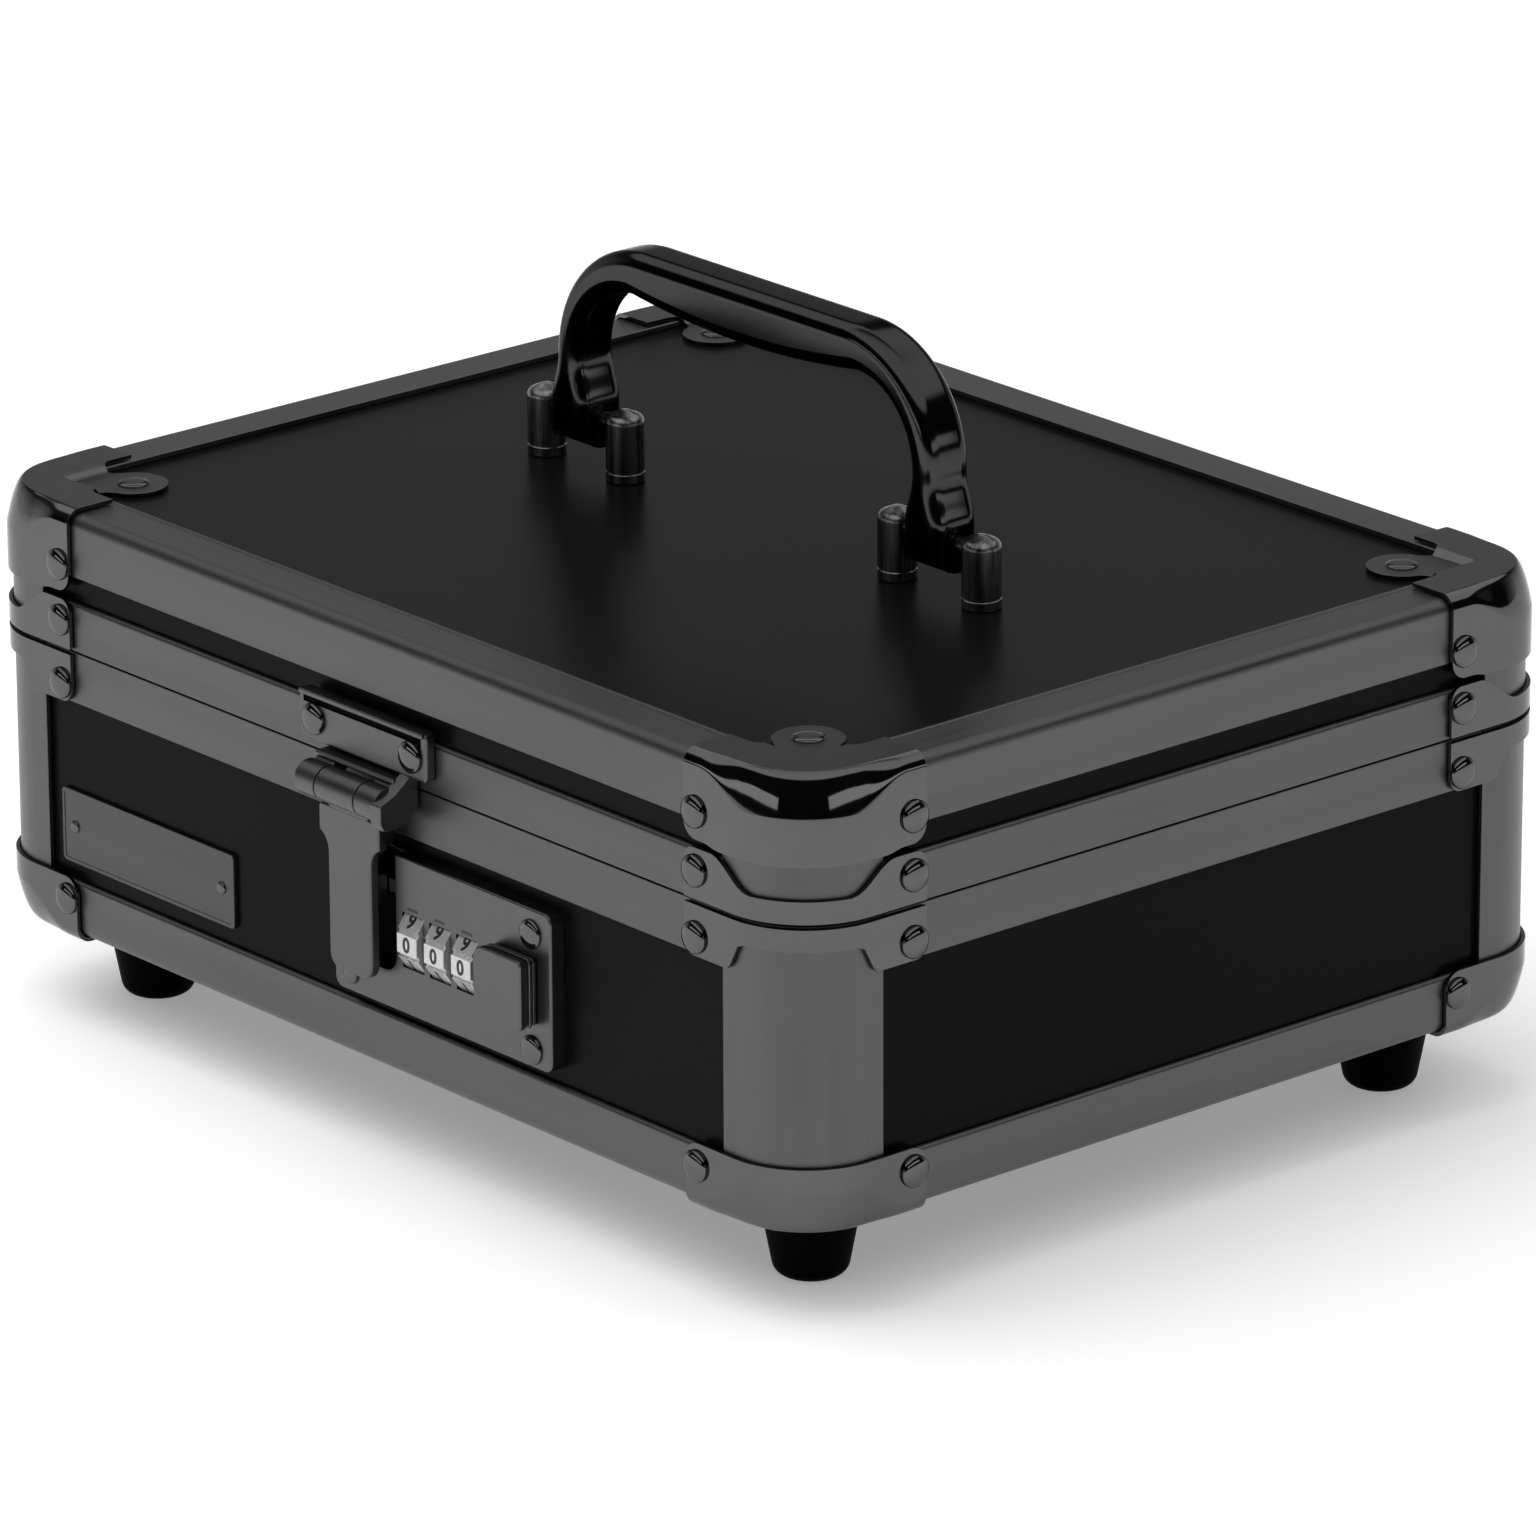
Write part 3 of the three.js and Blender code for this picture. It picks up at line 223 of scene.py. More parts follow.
# X along the front, Y up from the underside of the rails, Z outwards from the rails' face
FRONT_FRAME = Matrix.Translation((0, FRONT, RAILS_LOW)) @ Matrix.Rotation(math.pi / 2, 4, "X")
# The lid's middle, on the face of its board
LID_FRAME = Matrix.Translation((0, MIDDLE_Y, BOARD_TOP))


def front_box(node):
    """A node's left, right, lower and upper side in the front's frame, then its back and its face."""
    low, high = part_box(node)
    return low.x, high.x, low.z - RAILS_LOW, high.z - RAILS_LOW, FRONT - high.y, FRONT - low.y


def back_frame(x):
    """X to the left seen from the front, Y up from the underside of the rails, Z outwards from the back."""
    turn = Matrix.Rotation(math.pi, 4, "Z") @ Matrix.Rotation(math.pi / 2, 4, "X")
    return Matrix.Translation((x, BACK, RAILS_LOW)) @ turn


# Shapes

def arc(x, y, radius, start, end, steps):
    """Points on an arc, its ends given in degrees."""
    turns = [math.radians(start + (end - start) * i / steps) for i in range(steps + 1)]
    return [(x + radius * math.cos(turn), y + radius * math.sin(turn)) for turn in turns]


def curve(p0, p1, p2, p3, steps):
    """Points on a Bezier curve after its first point."""
    points = []
    for i in range(1, steps + 1):
        t = i / steps
        s = 1 - t
        weights = (s ** 3, 3 * s * s * t, 3 * s * t * t, t ** 3)
        points.append(tuple(sum(w * p[k] for w, p in zip(weights, (p0, p1, p2, p3))) for k in (0, 1)))
    return points


def rounded(x0, x1, y0, y1, radius, steps=6):
    """Outline of a rectangle with round corners."""
    return (arc(x1 - radius, y0 + radius, radius, -90, 0, steps) + arc(x1 - radius, y1 - radius, radius, 0, 90, steps)
            + arc(x0 + radius, y1 - radius, radius, 90, 180, steps)
            + arc(x0 + radius, y0 + radius, radius, 180, 270, steps))


def closed(shape):
    """Merges the points of a shape that meet, and turns its faces outwards."""
    bmesh.ops.remove_doubles(shape, verts=shape.verts[:], dist=CLOSE)
    bmesh.ops.recalc_face_normals(shape, faces=shape.faces[:])
    return shape


def prism(points, low, high):
    """An outline in X and Y, standing from one height to another."""
    shape = bmesh.new()
    face = shape.faces.new([shape.verts.new((x, y, low)) for x, y in points])
    grown = bmesh.ops.extrude_face_region(shape, geom=[face])
    top = [part for part in grown["geom"] if isinstance(part, bmesh.types.BMVert)]
    bmesh.ops.translate(shape, verts=top, vec=(0, 0, high - low))
    return closed(shape)


def along_x(points, low, high):
    """An outline in Y and Z, drawn out along X."""
    return moved(prism(points, low, high), Matrix(((0, 0, 1, 0), (1, 0, 0, 0), (0, 1, 0, 0), (0, 0, 0, 1))))


def block(x0, x1, y0, y1, z0, z1):
    """A box between its six faces."""
    shape = bmesh.new()
    middle = Matrix.Translation(((x0 + x1) / 2, (y0 + y1) / 2, (z0 + z1) / 2))
    bmesh.ops.create_cube(shape, size=1, matrix=middle @ Matrix.Diagonal((x1 - x0, y1 - y0, z1 - z0, 1)))
    return shape


def turned(profile, steps=40):
    """A profile of radii and heights, spun round Z."""
    shape = bmesh.new()
    points = [shape.verts.new((radius, 0, height)) for radius, height in profile]
    edges = [shape.edges.new(pair) for pair in zip(points, points[1:])]
    bmesh.ops.spin(shape, geom=points + edges, cent=(0, 0, 0), axis=(0, 0, 1), angle=2 * math.pi, steps=steps,
                   use_merge=True, use_normal_flip=False, use_duplicate=False)
    return closed(shape)


def cylinder_x(y, z, radius, x0, x1, steps=40):
    """A round bar along X."""
    return along_x(arc(y, z, radius, 0, 360 - 360 / steps, steps - 1), x0, x1)


def soften(shape, width, segments=2, least=30, keep=lambda edge: True):
    """Rounds the edges that are sharper than an angle."""
    sharp = [e for e in shape.edges if len(e.link_faces) == 2
             and e.calc_face_angle() > math.radians(least) and keep(e)]
    bmesh.ops.bevel(shape, geom=sharp, offset=width, offset_type="OFFSET", segments=segments, profile=0.5,
                    affect="EDGES", clamp_overlap=True, material=-1)
    return shape


def edges_above(level):
    """Picks the edges at or above a height."""
    return lambda edge: all(vert.co.z > level - CLOSE for vert in edge.verts)


def edges_below(level):
    """Picks the edges at or below a height."""
    return lambda edge: all(vert.co.z < level + CLOSE for vert in edge.verts)


def edges_across(axis):
    """Picks the edges that lie across X (0), Y (1) or Z (2)."""
    return lambda edge: abs(edge.verts[0].co[axis] - edge.verts[1].co[axis]) < CLOSE


def moved(shape, matrix):
    """The shape in another place."""
    bmesh.ops.transform(shape, matrix=matrix, verts=shape.verts[:])
    return shape


def mesh_of(name, shape):
    """A mesh that takes up the shape."""
    mesh = bpy.data.meshes.new(name)
    shape.to_mesh(mesh)
    shape.free()
    return mesh


def placed(name, data):
    """A new object in the scene."""
    thing = bpy.data.objects.new(name, data)
    bpy.context.scene.collection.objects.link(thing)
    return thing


def shape_of(thing):
    """The shape of an object after its modifiers."""
    bpy.context.view_layer.update()
    mesh = bpy.data.meshes.new_from_object(thing.evaluated_get(bpy.context.evaluated_depsgraph_get()))
    shape = bmesh.new()
    shape.from_mesh(mesh)
    bpy.data.meshes.remove(mesh)
    return shape


def gathered(*shapes):
    """Several closed shapes in one mesh."""
    whole = bmesh.new()
    for shape in shapes:
        part = mesh_of("part", shape)
        whole.from_mesh(part)
        bpy.data.meshes.remove(part)
    return whole


def combined(operation, *shapes):
    """The exact boolean of the first shape with each of the others."""
    solid, *others = [placed("part", mesh_of("part", shape)) for shape in shapes]
    for other in others:
        step = solid.modifiers.new("step", "BOOLEAN")
        step.operation = operation
        step.solver = "EXACT"
        step.object = other
    shape = shape_of(solid)
    for thing in (solid, *others):
        data = thing.data
        bpy.data.objects.remove(thing)
        bpy.data.meshes.remove(data)
    bmesh.ops.remove_doubles(shape, verts=shape.verts[:], dist=2e-6)
    return shape


def carved(body, *tools):
    """The body without what the tools take away."""
    return combined("DIFFERENCE", body, *tools)


def bent_sheet(stations, rows, place):
    """A grid bent into a sheet: place(i, j) gives the position at station i in row j."""
    sheet = bmesh.new()
    bmesh.ops.create_grid(sheet, x_segments=stations, y_segments=rows, size=0.5)
    for vert in sheet.verts:
        i = round((vert.co.x + 0.5) * stations)
        j = round((vert.co.y + 0.5) * rows)
        vert.co = place(i, j)
    bmesh.ops.recalc_face_normals(sheet, faces=sheet.faces[:])
    return sheet


def rivet_head(radius, height, at=(0, 0, 0)):
    """A domed head with a small round edge, seated on its place and facing along Z."""
    edge = 0.22 * height
    dome = [(radius * math.cos(math.radians(a)), edge + (height - edge) * math.sin(math.radians(a)))
            for a in range(0, 91, 10)]
    return moved(turned([(0, -edge), (radius, -edge), *dome[:-1], (0, height)], 28), Matrix.Translation(at))


def piece(name, shape, finish, body, place=None, stands_for=(), sharp=38):
    """Makes the shape an object of its own, in its place, riding on its body."""
    if place is not None:
        moved(shape, place)
    mesh = mesh_of(name, shape)
    mesh.polygons.foreach_set("use_smooth", [True] * len(mesh.polygons))
    mesh.set_sharp_from_angle(angle=math.radians(sharp))
    mesh.materials.append(MATERIALS[finish])
    thing = placed(name, mesh)
    thing.modifiers.new("Even shading", "WEIGHTED_NORMAL").keep_sharp = True
    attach(thing, body)
    if stands_for:
        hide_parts(*stands_for)


def fine(node, shape, finish, body, place=None, sharp=38):
    """A detailed piece that stands for the frame's node of the same name."""
    piece(f"{node}_fine", shape, finish, body, place, [node], sharp)


def dress(node, finish):
    """Gives a node of the frame its material."""
    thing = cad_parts[node]
    thing.data.materials.clear()
    thing.data.materials.append(MATERIALS[finish])


# Shader nodes and the effects that the finishes share

def join(tree, value, socket):
    """Links an output to the socket, or sets the socket to a plain value."""
    if isinstance(value, bpy.types.NodeSocket):
        tree.links.new(value, socket)
    else:
        socket.default_value = value


def add_node(tree, kind, inputs, **modes):
    """A new node with its modes, and its inputs by name or number."""
    node = tree.nodes.new(f"ShaderNode{kind}")
    for mode, value in modes.items():
        setattr(node, mode, value)
    for socket, value in inputs.items():
        join(tree, value, node.inputs[socket])
    return node


def noise(tree, vector, scale, detail=3, roughness=0.55):
    """Cloudy values round a half."""
    inputs = {"Vector": vector, "Scale": scale, "Detail": detail, "Roughness": roughness}
    return add_node(tree, "TexNoise", inputs).outputs["Fac"]


def remap(tree, value, low, high, start=0.0, end=1.0):
    """From low to high, where the value goes from start to end."""
    inputs = {"Value": value, "From Min": start, "From Max": end, "To Min": low, "To Max": high}
    return add_node(tree, "MapRange", inputs).outputs["Result"]


def maths(tree, operation, first, second):
    """The sum, product or other result of two values."""
    return add_node(tree, "Math", {0: first, 1: second}, operation=operation).outputs[0]


def tinted(tree, colour, factor):
    """The colour times a factor."""
    return add_node(tree, "VectorMath", {0: colour, "Scale": factor}, operation="SCALE").outputs["Vector"]


def effect(name, inputs):
    """An empty node group that takes the inputs and puts out a colour, a roughness and a relief."""
    tree = bpy.data.node_groups.new(name, "ShaderNodeTree")
    for label, value in inputs.items():
        kind = "Float" if isinstance(value, float) else {3: "Vector", 4: "Color"}[len(value)]
        tree.interface.new_socket(name=label, in_out="INPUT", socket_type=f"NodeSocket{kind}").default_value = value
    for label, kind in (("Colour", "Color"), ("Roughness", "Float"), ("Height", "Float")):
        tree.interface.new_socket(name=label, in_out="OUTPUT", socket_type=f"NodeSocket{kind}")
    given, results = tree.nodes.new("NodeGroupInput"), tree.nodes.new("NodeGroupOutput")
    return tree, given.outputs, tree.nodes.new("ShaderNodeTexCoord").outputs, results.inputs


def brushed_effect():
    """Fine streaks along one direction, with uneven bands and soft patches."""
    tree, given, place, results = effect("Brushed streaks", {
        "Colour": (0.5, 0.5, 0.5, 1), "Stretch": (1, 1, 1), "Fineness": 900.0, "Contrast": 0.12, "Roughness": 0.36})
    stretched = add_node(tree, "Mapping", {"Vector": place["Object"], "Scale": given["Stretch"]}).outputs[0]
    streaks = noise(tree, stretched, given["Fineness"], 4, 0.7)
    bands = noise(tree, stretched, maths(tree, "MULTIPLY", given["Fineness"], 0.12), 2, 0.5)
    patches = noise(tree, place["Object"], 14.0)
    faint, strong = [maths(tree, way, 1.0, given["Contrast"]) for way in ("SUBTRACT", "ADD")]
    tone = maths(tree, "MULTIPLY", remap(tree, streaks, faint, strong, 0.3, 0.7),
                 remap(tree, bands, 0.96, 1.04, 0.35, 0.65))
    tone = maths(tree, "MULTIPLY", tone, remap(tree, patches, 0.97, 1.03, 0.3, 0.7))
    dullness = remap(tree, streaks, 0.85, 1.15, 0.3, 0.7)
    join(tree, tinted(tree, given["Colour"], tone), results["Colour"])
    join(tree, maths(tree, "MULTIPLY", given["Roughness"], dullness), results["Roughness"])
    join(tree, streaks, results["Height"])
    return tree


def handled_effect():
    """Faint smudges and dust that dull a polished surface, most of all where it faces up."""
    tree, given, place, results = effect("Smudges", {
        "Colour": (0.5, 0.5, 0.5, 1), "Roughness": 0.1, "Smudge": 0.08, "Scale": 40.0, "Dull top": 0.0})
    smudges = noise(tree, place["Object"], given["Scale"], 4, 0.6)
    specks = noise(tree, place["Object"], 900.0, 2, 0.5)
    facing = add_node(tree, "SeparateXYZ", {0: place["Normal"]}).outputs["Z"]
    rough = maths(tree, "ADD", given["Roughness"], remap(tree, smudges, 0.0, given["Smudge"], 0.4, 0.75))
    rough = maths(tree, "ADD", rough, remap(tree, facing, 0.0, given["Dull top"], 0.97, 0.995))
    join(tree, tinted(tree, given["Colour"], remap(tree, smudges, 0.96, 1.05, 0.3, 0.7)), results["Colour"])
    join(tree, rough, results["Roughness"])
    join(tree, specks, results["Height"])
    return tree


def grained_effect():
    """Fine leather-like grain of laminate and moulded plastic, with faint dust."""
    tree, given, place, results = effect("Fine grain", {
        "Colour": (0.02, 0.02, 0.02, 1), "Roughness": 0.45, "Size": 1400.0, "Dust": 0.25})
    cells = add_node(tree, "TexVoronoi", {"Vector": place["Object"], "Scale": given["Size"]}, feature="SMOOTH_F1")
    pores = maths(tree, "MULTIPLY", noise(tree, place["Object"], 2600.0, 2), 0.5)
    clouds = noise(tree, place["Object"], 11.0, 4)
    dust = remap(tree, clouds, 1.0, maths(tree, "ADD", given["Dust"], 1.0), 0.35, 0.75)
    dullness = remap(tree, clouds, 0.94, 1.06, 0.3, 0.7)
    join(tree, tinted(tree, given["Colour"], dust), results["Colour"])
    join(tree, maths(tree, "MULTIPLY", given["Roughness"], dullness), results["Roughness"])
    join(tree, maths(tree, "ADD", cells.outputs["Distance"], pores), results["Height"])
    return tree


# Finishes

STREAKS = {"x": (0.02, 1, 1), "y": (1, 0.02, 1), "z": (1, 1, 0.02)}
MATERIALS = {}


def finish(key, name, look, colour, values, metallic, relief=None, specular=0.5, edge=1.0):
    """A material whose colour, roughness and relief come from an effect; the relief is its strength and depth."""
    material = bpy.data.materials.new(name)
    material.use_nodes = True
    tree = material.node_tree
    node = add_node(tree, "Group", {}, node_tree=look)
    for label, value in {"Colour": (*colour, 1), **values}.items():
        node.inputs[label].default_value = value
    shader = tree.nodes["Principled BSDF"].inputs
    for label, value in (
            ("Metallic", metallic), ("Specular IOR Level", specular), ("Specular Tint", (edge, edge, edge, 1)),
            ("Base Color", node.outputs["Colour"]), ("Roughness", node.outputs["Roughness"])):
        join(tree, value, shader[label])
    if relief:
        strength, depth = relief
        bump = add_node(tree, "Bump", {"Strength": strength, "Distance": depth, "Height": node.outputs["Height"]})
        join(tree, bump.outputs["Normal"], shader["Normal"])
    MATERIALS[key] = material


def make_materials():
    """All finishes, once."""
    tones = settings("finishes")
    brushed, handled, grained = brushed_effect(), handled_effect(), grained_effect()
    hairline, metal_relief = {"Fineness": 1500.0, "Contrast": 0.07}, (0.05, 2e-5)
    for axis, stretch in STREAKS.items():
        finish(f"aluminium_{axis}", f"Brushed aluminium along {axis}", brushed, tones.aluminium,
               {**hairline, "Stretch": stretch, "Roughness": 0.4}, 1, metal_relief)
    finish("name_plate", "Name plate", brushed, tones.name_plate,
           {**hairline, "Stretch": STREAKS["x"], "Roughness": 0.38}, 1, metal_relief)
    finish("plated", "Dark plated steel", handled, tones.plated,
           {"Roughness": 0.055, "Smudge": 0.05, "Dull top": 0.3}, 1, edge=0.8)
    finish("cast", "Plated lock casting", handled, tones.plated,
           {"Roughness": 0.34, "Smudge": 0.06, "Scale": 60.0}, 1, (0.04, 2e-5))
    finish("black_chrome", "Black chrome", handled, tones.black_chrome,
           {"Roughness": 0.1, "Smudge": 0.05, "Scale": 25.0}, 1, edge=0.55)
    # Painted highlight streaks: the posts' strong upright colour streaks stand in for the bright streaks that polished
    # posts reflect.
    finish("turned", "Black chrome with painted highlight streaks", brushed, tones.posts,
           {"Stretch": (1, 1, 0.03), "Fineness": 420.0, "Contrast": 1.0, "Roughness": 0.3}, 1, metal_relief)
    finish("laminate", "Black laminate", grained, tones.laminate,
           {"Roughness": 0.3, "Size": 1300.0}, 0, (0.12, 3e-5), specular=0.045)
    finish("rubber", "Foot rubber", grained, tones.rubber,
           {"Roughness": 0.55, "Size": 1800.0}, 0, (0.1, 3e-5), specular=0.02)
    finish("dial", "Dial metal", handled, tones.dial, {"Roughness": 0.22, "Smudge": 0.1, "Scale": 300.0}, 0.6)
    finish("ink", "Dial figures", handled, tones.ink, {"Roughness": 0.4, "Smudge": 0.1}, 0)
    finish("steel", "Plain steel", brushed, tones.steel,
           {"Stretch": (0.06, 1, 1), "Roughness": 0.32}, 1, metal_relief)
    finish("tray", "Moulded tray", grained, tones.tray, {"Roughness": 0.5, "Size": 900.0}, 0, (0.25, 6e-5))


# Edge profiles

FINE_EDGE = 0.12 * MM  # broken edges of the profiles
RIM_SHARE, RIM_STEPS = 0.95, 5  # a plate's rim is rounded over this share of its thickness, in so many steps


def rail_levels():
    """Heights of the bottom rails' flat underside and of the top rails' flat top, without their beads."""
    bead = settings("shell").bead_height
    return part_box("bottom_rail_front")[0].z + bead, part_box("top_rail_front")[1].z - bead


def edge_section(height):
    """Section of a rail round the box's long edge, with its bead, drawn from the sharp outer edge."""
    size = settings("shell")
    wall, round_, lip = size.wall, size.edge, size.lip
    return [(0, height), *arc(round_, round_, round_, 180, 270, 12),
            (lip - size.bead, 0), (lip - 0.75 * size.bead, -size.bead_height),
            (lip - 0.25 * size.bead, -size.bead_height), (lip, 0), (lip, wall),
            *arc(round_, round_, round_ - wall, 270, 180, 8), (wall, height)]


def base_rim_section():
    """Section of the base's rim rail: a channel over the boards with a tongue on it."""
    size = settings("shell")
    wall, inner = size.wall, size.board_face + size.board + size.fit
    low, leg = BASE_TOP - size.base_rim, BASE_TOP - size.rim_inner
    tongue = (size.tongue_inset, size.tongue_inset + wall)
    return [(0, low), (wall, low), (wall, BASE_TOP - wall), (inner, BASE_TOP - wall), (inner, leg),
            (inner + wall, leg), (inner + wall, BASE_TOP), (tongue[1], BASE_TOP), (tongue[1], BASE_TOP + size.tongue),
            (tongue[0], BASE_TOP + size.tongue), (tongue[0], BASE_TOP), (0, BASE_TOP)]


def lid_rim_section():
    """Section of the lid's rim rail: a channel under the boards with a groove for the tongue."""
    size = settings("shell")
    wall, inner = size.wall, size.board_face + size.board + size.fit
    web = LID_LOW + size.groove
    return [(0, LID_LOW), (wall, LID_LOW), (wall, web), (inner + wall, web), (inner + wall, web + size.rim_inner),
            (inner, web + size.rim_inner), (inner, web + wall), (wall, web + wall), (wall, LID_LOW + size.lid_rim),
            (0, LID_LOW + size.lid_rim)]


class CASHBOX_OT_rails(bpy.types.Operator):
    """Make the brushed aluminium rails along the four sides"""
    bl_idname = "cashbox.rails"
    bl_label = "Edge rails"

    def execute(self, context):
        size = settings("shell")
        low, high = rail_levels()
        lower = [(y, low + z) for y, z in edge_section(size.bottom_rail)]
        upper = [(y, high - z) for y, z in edge_section(size.top_rail)]
        fine_edge, rim_edge = (FINE_EDGE, 1), (0.3 * MM, 2)
        kinds = [("bottom_rail", lower, "base", fine_edge), ("base_rim_rail", base_rim_section(), "base", rim_edge),
                 ("lid_rim_rail", lid_rim_section(), "lid", rim_edge), ("top_rail", upper, "lid", fine_edge)]
        ledges = {"bottom_rail": low + size.bottom_rail, "lid_rim_rail": LID_LOW + size.lid_rim}
        for side in SIDES:
            across = side in ("front", "back")
            half = (RIGHT - LEFT if across else BACK - FRONT) / 2 - size.strip - size.fit
            for kind, section, body, (edge, segments) in kinds:
                rail = along_x(section, -half, half)
                if kind in ledges:
                    soften(rail, RIM_SHARE * size.wall, RIM_STEPS, SHARP, lambda e: all(
                        v.co.y < CLOSE and abs(v.co.z - ledges[kind]) < CLOSE for v in e.verts))
                soften(rail, edge, segments, SHARP)
                fine(f"{kind}_{side}", rail, "aluminium_x" if across else "aluminium_y", body,
                     outline_frame(side))
        return {"FINISHED"}


# Corner strips, clamps and caps

BEND_STATIONS, SIDE_STATIONS = 20, 14  # round the corner, and on each side of it
CAP_ROWS, TAB_ROWS, CLAMP_ROWS = 14, 6, 4  # over a cap's rounding, down its side, and over a clamp
EAR_FOLDS = 6  # steps in which the ear bends down
# Stretches, measured from the sharp corner, in which a corner piece turns from its band into its tabs
BASE_CLAMP_TURN = (17 * MM, 21.5 * MM)
LID_CLAMP_TURN = (14.5 * MM, 26.6 * MM)
CAP_TURN = (24 * MM, 29 * MM)
ROUNDING_TURN = (15 * MM, 30 * MM)  # where a cap's deep rounding turns into the plain one


def strip_section():
    """Section of a corner strip: a rounded skin with a channel for the end of each board."""
    size = settings("shell")
    reach, wall, radius = size.strip, size.wall, size.corner
    groove = size.board_face + size.board + size.fit
    slope = math.degrees(math.asin(wall / (radius - wall)))
    return [(reach, 0), *arc(radius, radius, radius, 270, 180, 24), (0, reach), (wall, reach), (wall, radius),
            (groove, radius), (groove, reach), (groove + wall, reach), (groove + wall, radius - wall),
            *arc(radius, radius, radius - wall, 180 + slope, 270 - slope, 20), (radius - wall, groove + wall),
            (reach, groove + wall), (reach, groove), (radius, groove), (radius, wall), (reach, wall)]


def corner_path(offset, end_round):
    """Stations round a corner: place, outward direction, and distance from the sharp corner along the side."""
    size, plate = settings("shell"), settings("corners")
    radius, reach = size.corner, plate.reach
    ends = [reach - end_round * (1 - math.cos(math.radians(a))) for a in range(0, 91, 10)]
    middle = [ends[-1] + (radius - ends[-1]) * i / SIDE_STATIONS for i in range(1, SIDE_STATIONS)]
    runs = ends + middle
    path = [((t, -offset), (0, -1), t) for t in runs]
    for i in range(BEND_STATIONS + 1):
        turn = math.radians(270 - 90 * i / BEND_STATIONS)
        x = radius + (radius + offset) * math.cos(turn)
        y = radius + (radius + offset) * math.sin(turn)
        path.append(((x, y), (math.cos(turn), math.sin(turn)), max(x, y)))
    path += [((-offset, t), (-1, 0), t) for t in reversed(runs)]
    return path


def ease(value, start, end):
    """From 0 to 1, smoothly, between two values."""
    t = min(1.0, max(0.0, (value - start) / (end - start)))
    return t * t * (3 - 2 * t)


def tab_depth(t, tab, band, bend, round_):
    """How far a corner piece reaches from its flat edge at a distance from the sharp corner."""
    depth = band + (tab - band) * ease(t, *bend)
    over = t - (settings("corners").reach - round_)
    if over > 0:
        depth -= round_ - math.sqrt(max(0.0, round_ * round_ - over * over))
    return depth


def plate_proud():
    """From the rails' face to the outer face of the plated corners."""
    return settings("shell").fit + settings("corners").plate


def clamp_shape(flat, direction, bend):
    """A rim clamp from its flat edge at the seam, upwards or downwards."""
    plate = settings("corners")
    path = corner_path(plate_proud(), plate.clamp_round)

    def place(i, j):
        (x, y), _, t = path[i]
        depth = tab_depth(t, plate.clamp_tab, plate.clamp_band, bend, plate.clamp_round)
        return Vector((x, y, flat + direction * depth * j / CLAMP_ROWS))

    return thickened(bent_sheet(len(path) - 1, CLAMP_ROWS, place), plate.plate)


def thickened(sheet, thickness):
    """Turns a clamp's sheet outwards, then makes it solid."""
    centre = Vector((settings("shell").strip, settings("shell").strip, 0))
    face = max(sheet.faces, key=lambda f: f.calc_area())
    middle = face.calc_center_median()
    outward = middle - centre
    outward.z = 0
    if abs(face.normal.z) < 0.5 and face.normal.dot(outward) < 0:
        bmesh.ops.reverse_faces(sheet, faces=sheet.faces[:])
    return solid_sheet(sheet, thickness)


def solid_sheet(sheet, thickness):
    """Gives a sheet its thickness on the inner side, and rounds its rim on the outer side."""
    outer = set(sheet.verts)
    bmesh.ops.solidify(sheet, geom=sheet.faces[:], thickness=thickness)
    return soften(sheet, RIM_SHARE * thickness, RIM_STEPS, 55, lambda e: all(v in outer for v in e.verts))


def flange_outline(inset, radius, fillet):
    """Inner outline of a cap's flange, from the end of one leg round the ear to the other."""
    plate = settings("corners")
    leg = plate.leg
    rise = leg + fillet
    run = math.sqrt((radius + fillet) ** 2 - (inset - rise) ** 2)
    turn = math.degrees(math.atan2(rise - inset, run))
    return [(plate.reach, leg), *arc(inset + run, rise, fillet, -90, -180 + turn, 5),
            *arc(inset, inset, radius, turn, 90 - turn, 16), *arc(rise, inset + run, fillet, -90 - turn, -180, 5),
            (leg, plate.reach)]


def cap_bend(t):
    """Insets and drops of a cap's rounding: an arc along the sides, steeper and higher round the corner."""
    plate = settings("corners")
    drop, inwards, radius = plate.drop, plate.inwards, plate.round_
    corner = [(inwards, 0), (0.55 * inwards, 0), (0.15 * inwards, 0.65 * drop), (0, drop)]
    plain = [(radius, 0), (0.448 * radius, 0), (0, 0.552 * radius), (0, radius)]
    share = ease(t, *ROUNDING_TURN)
    ends = [tuple(c[k] + (p[k] - c[k]) * share for k in (0, 1)) for c, p in zip(corner, plain)]
    return [ends[0], *curve(*ends, CAP_ROWS)]


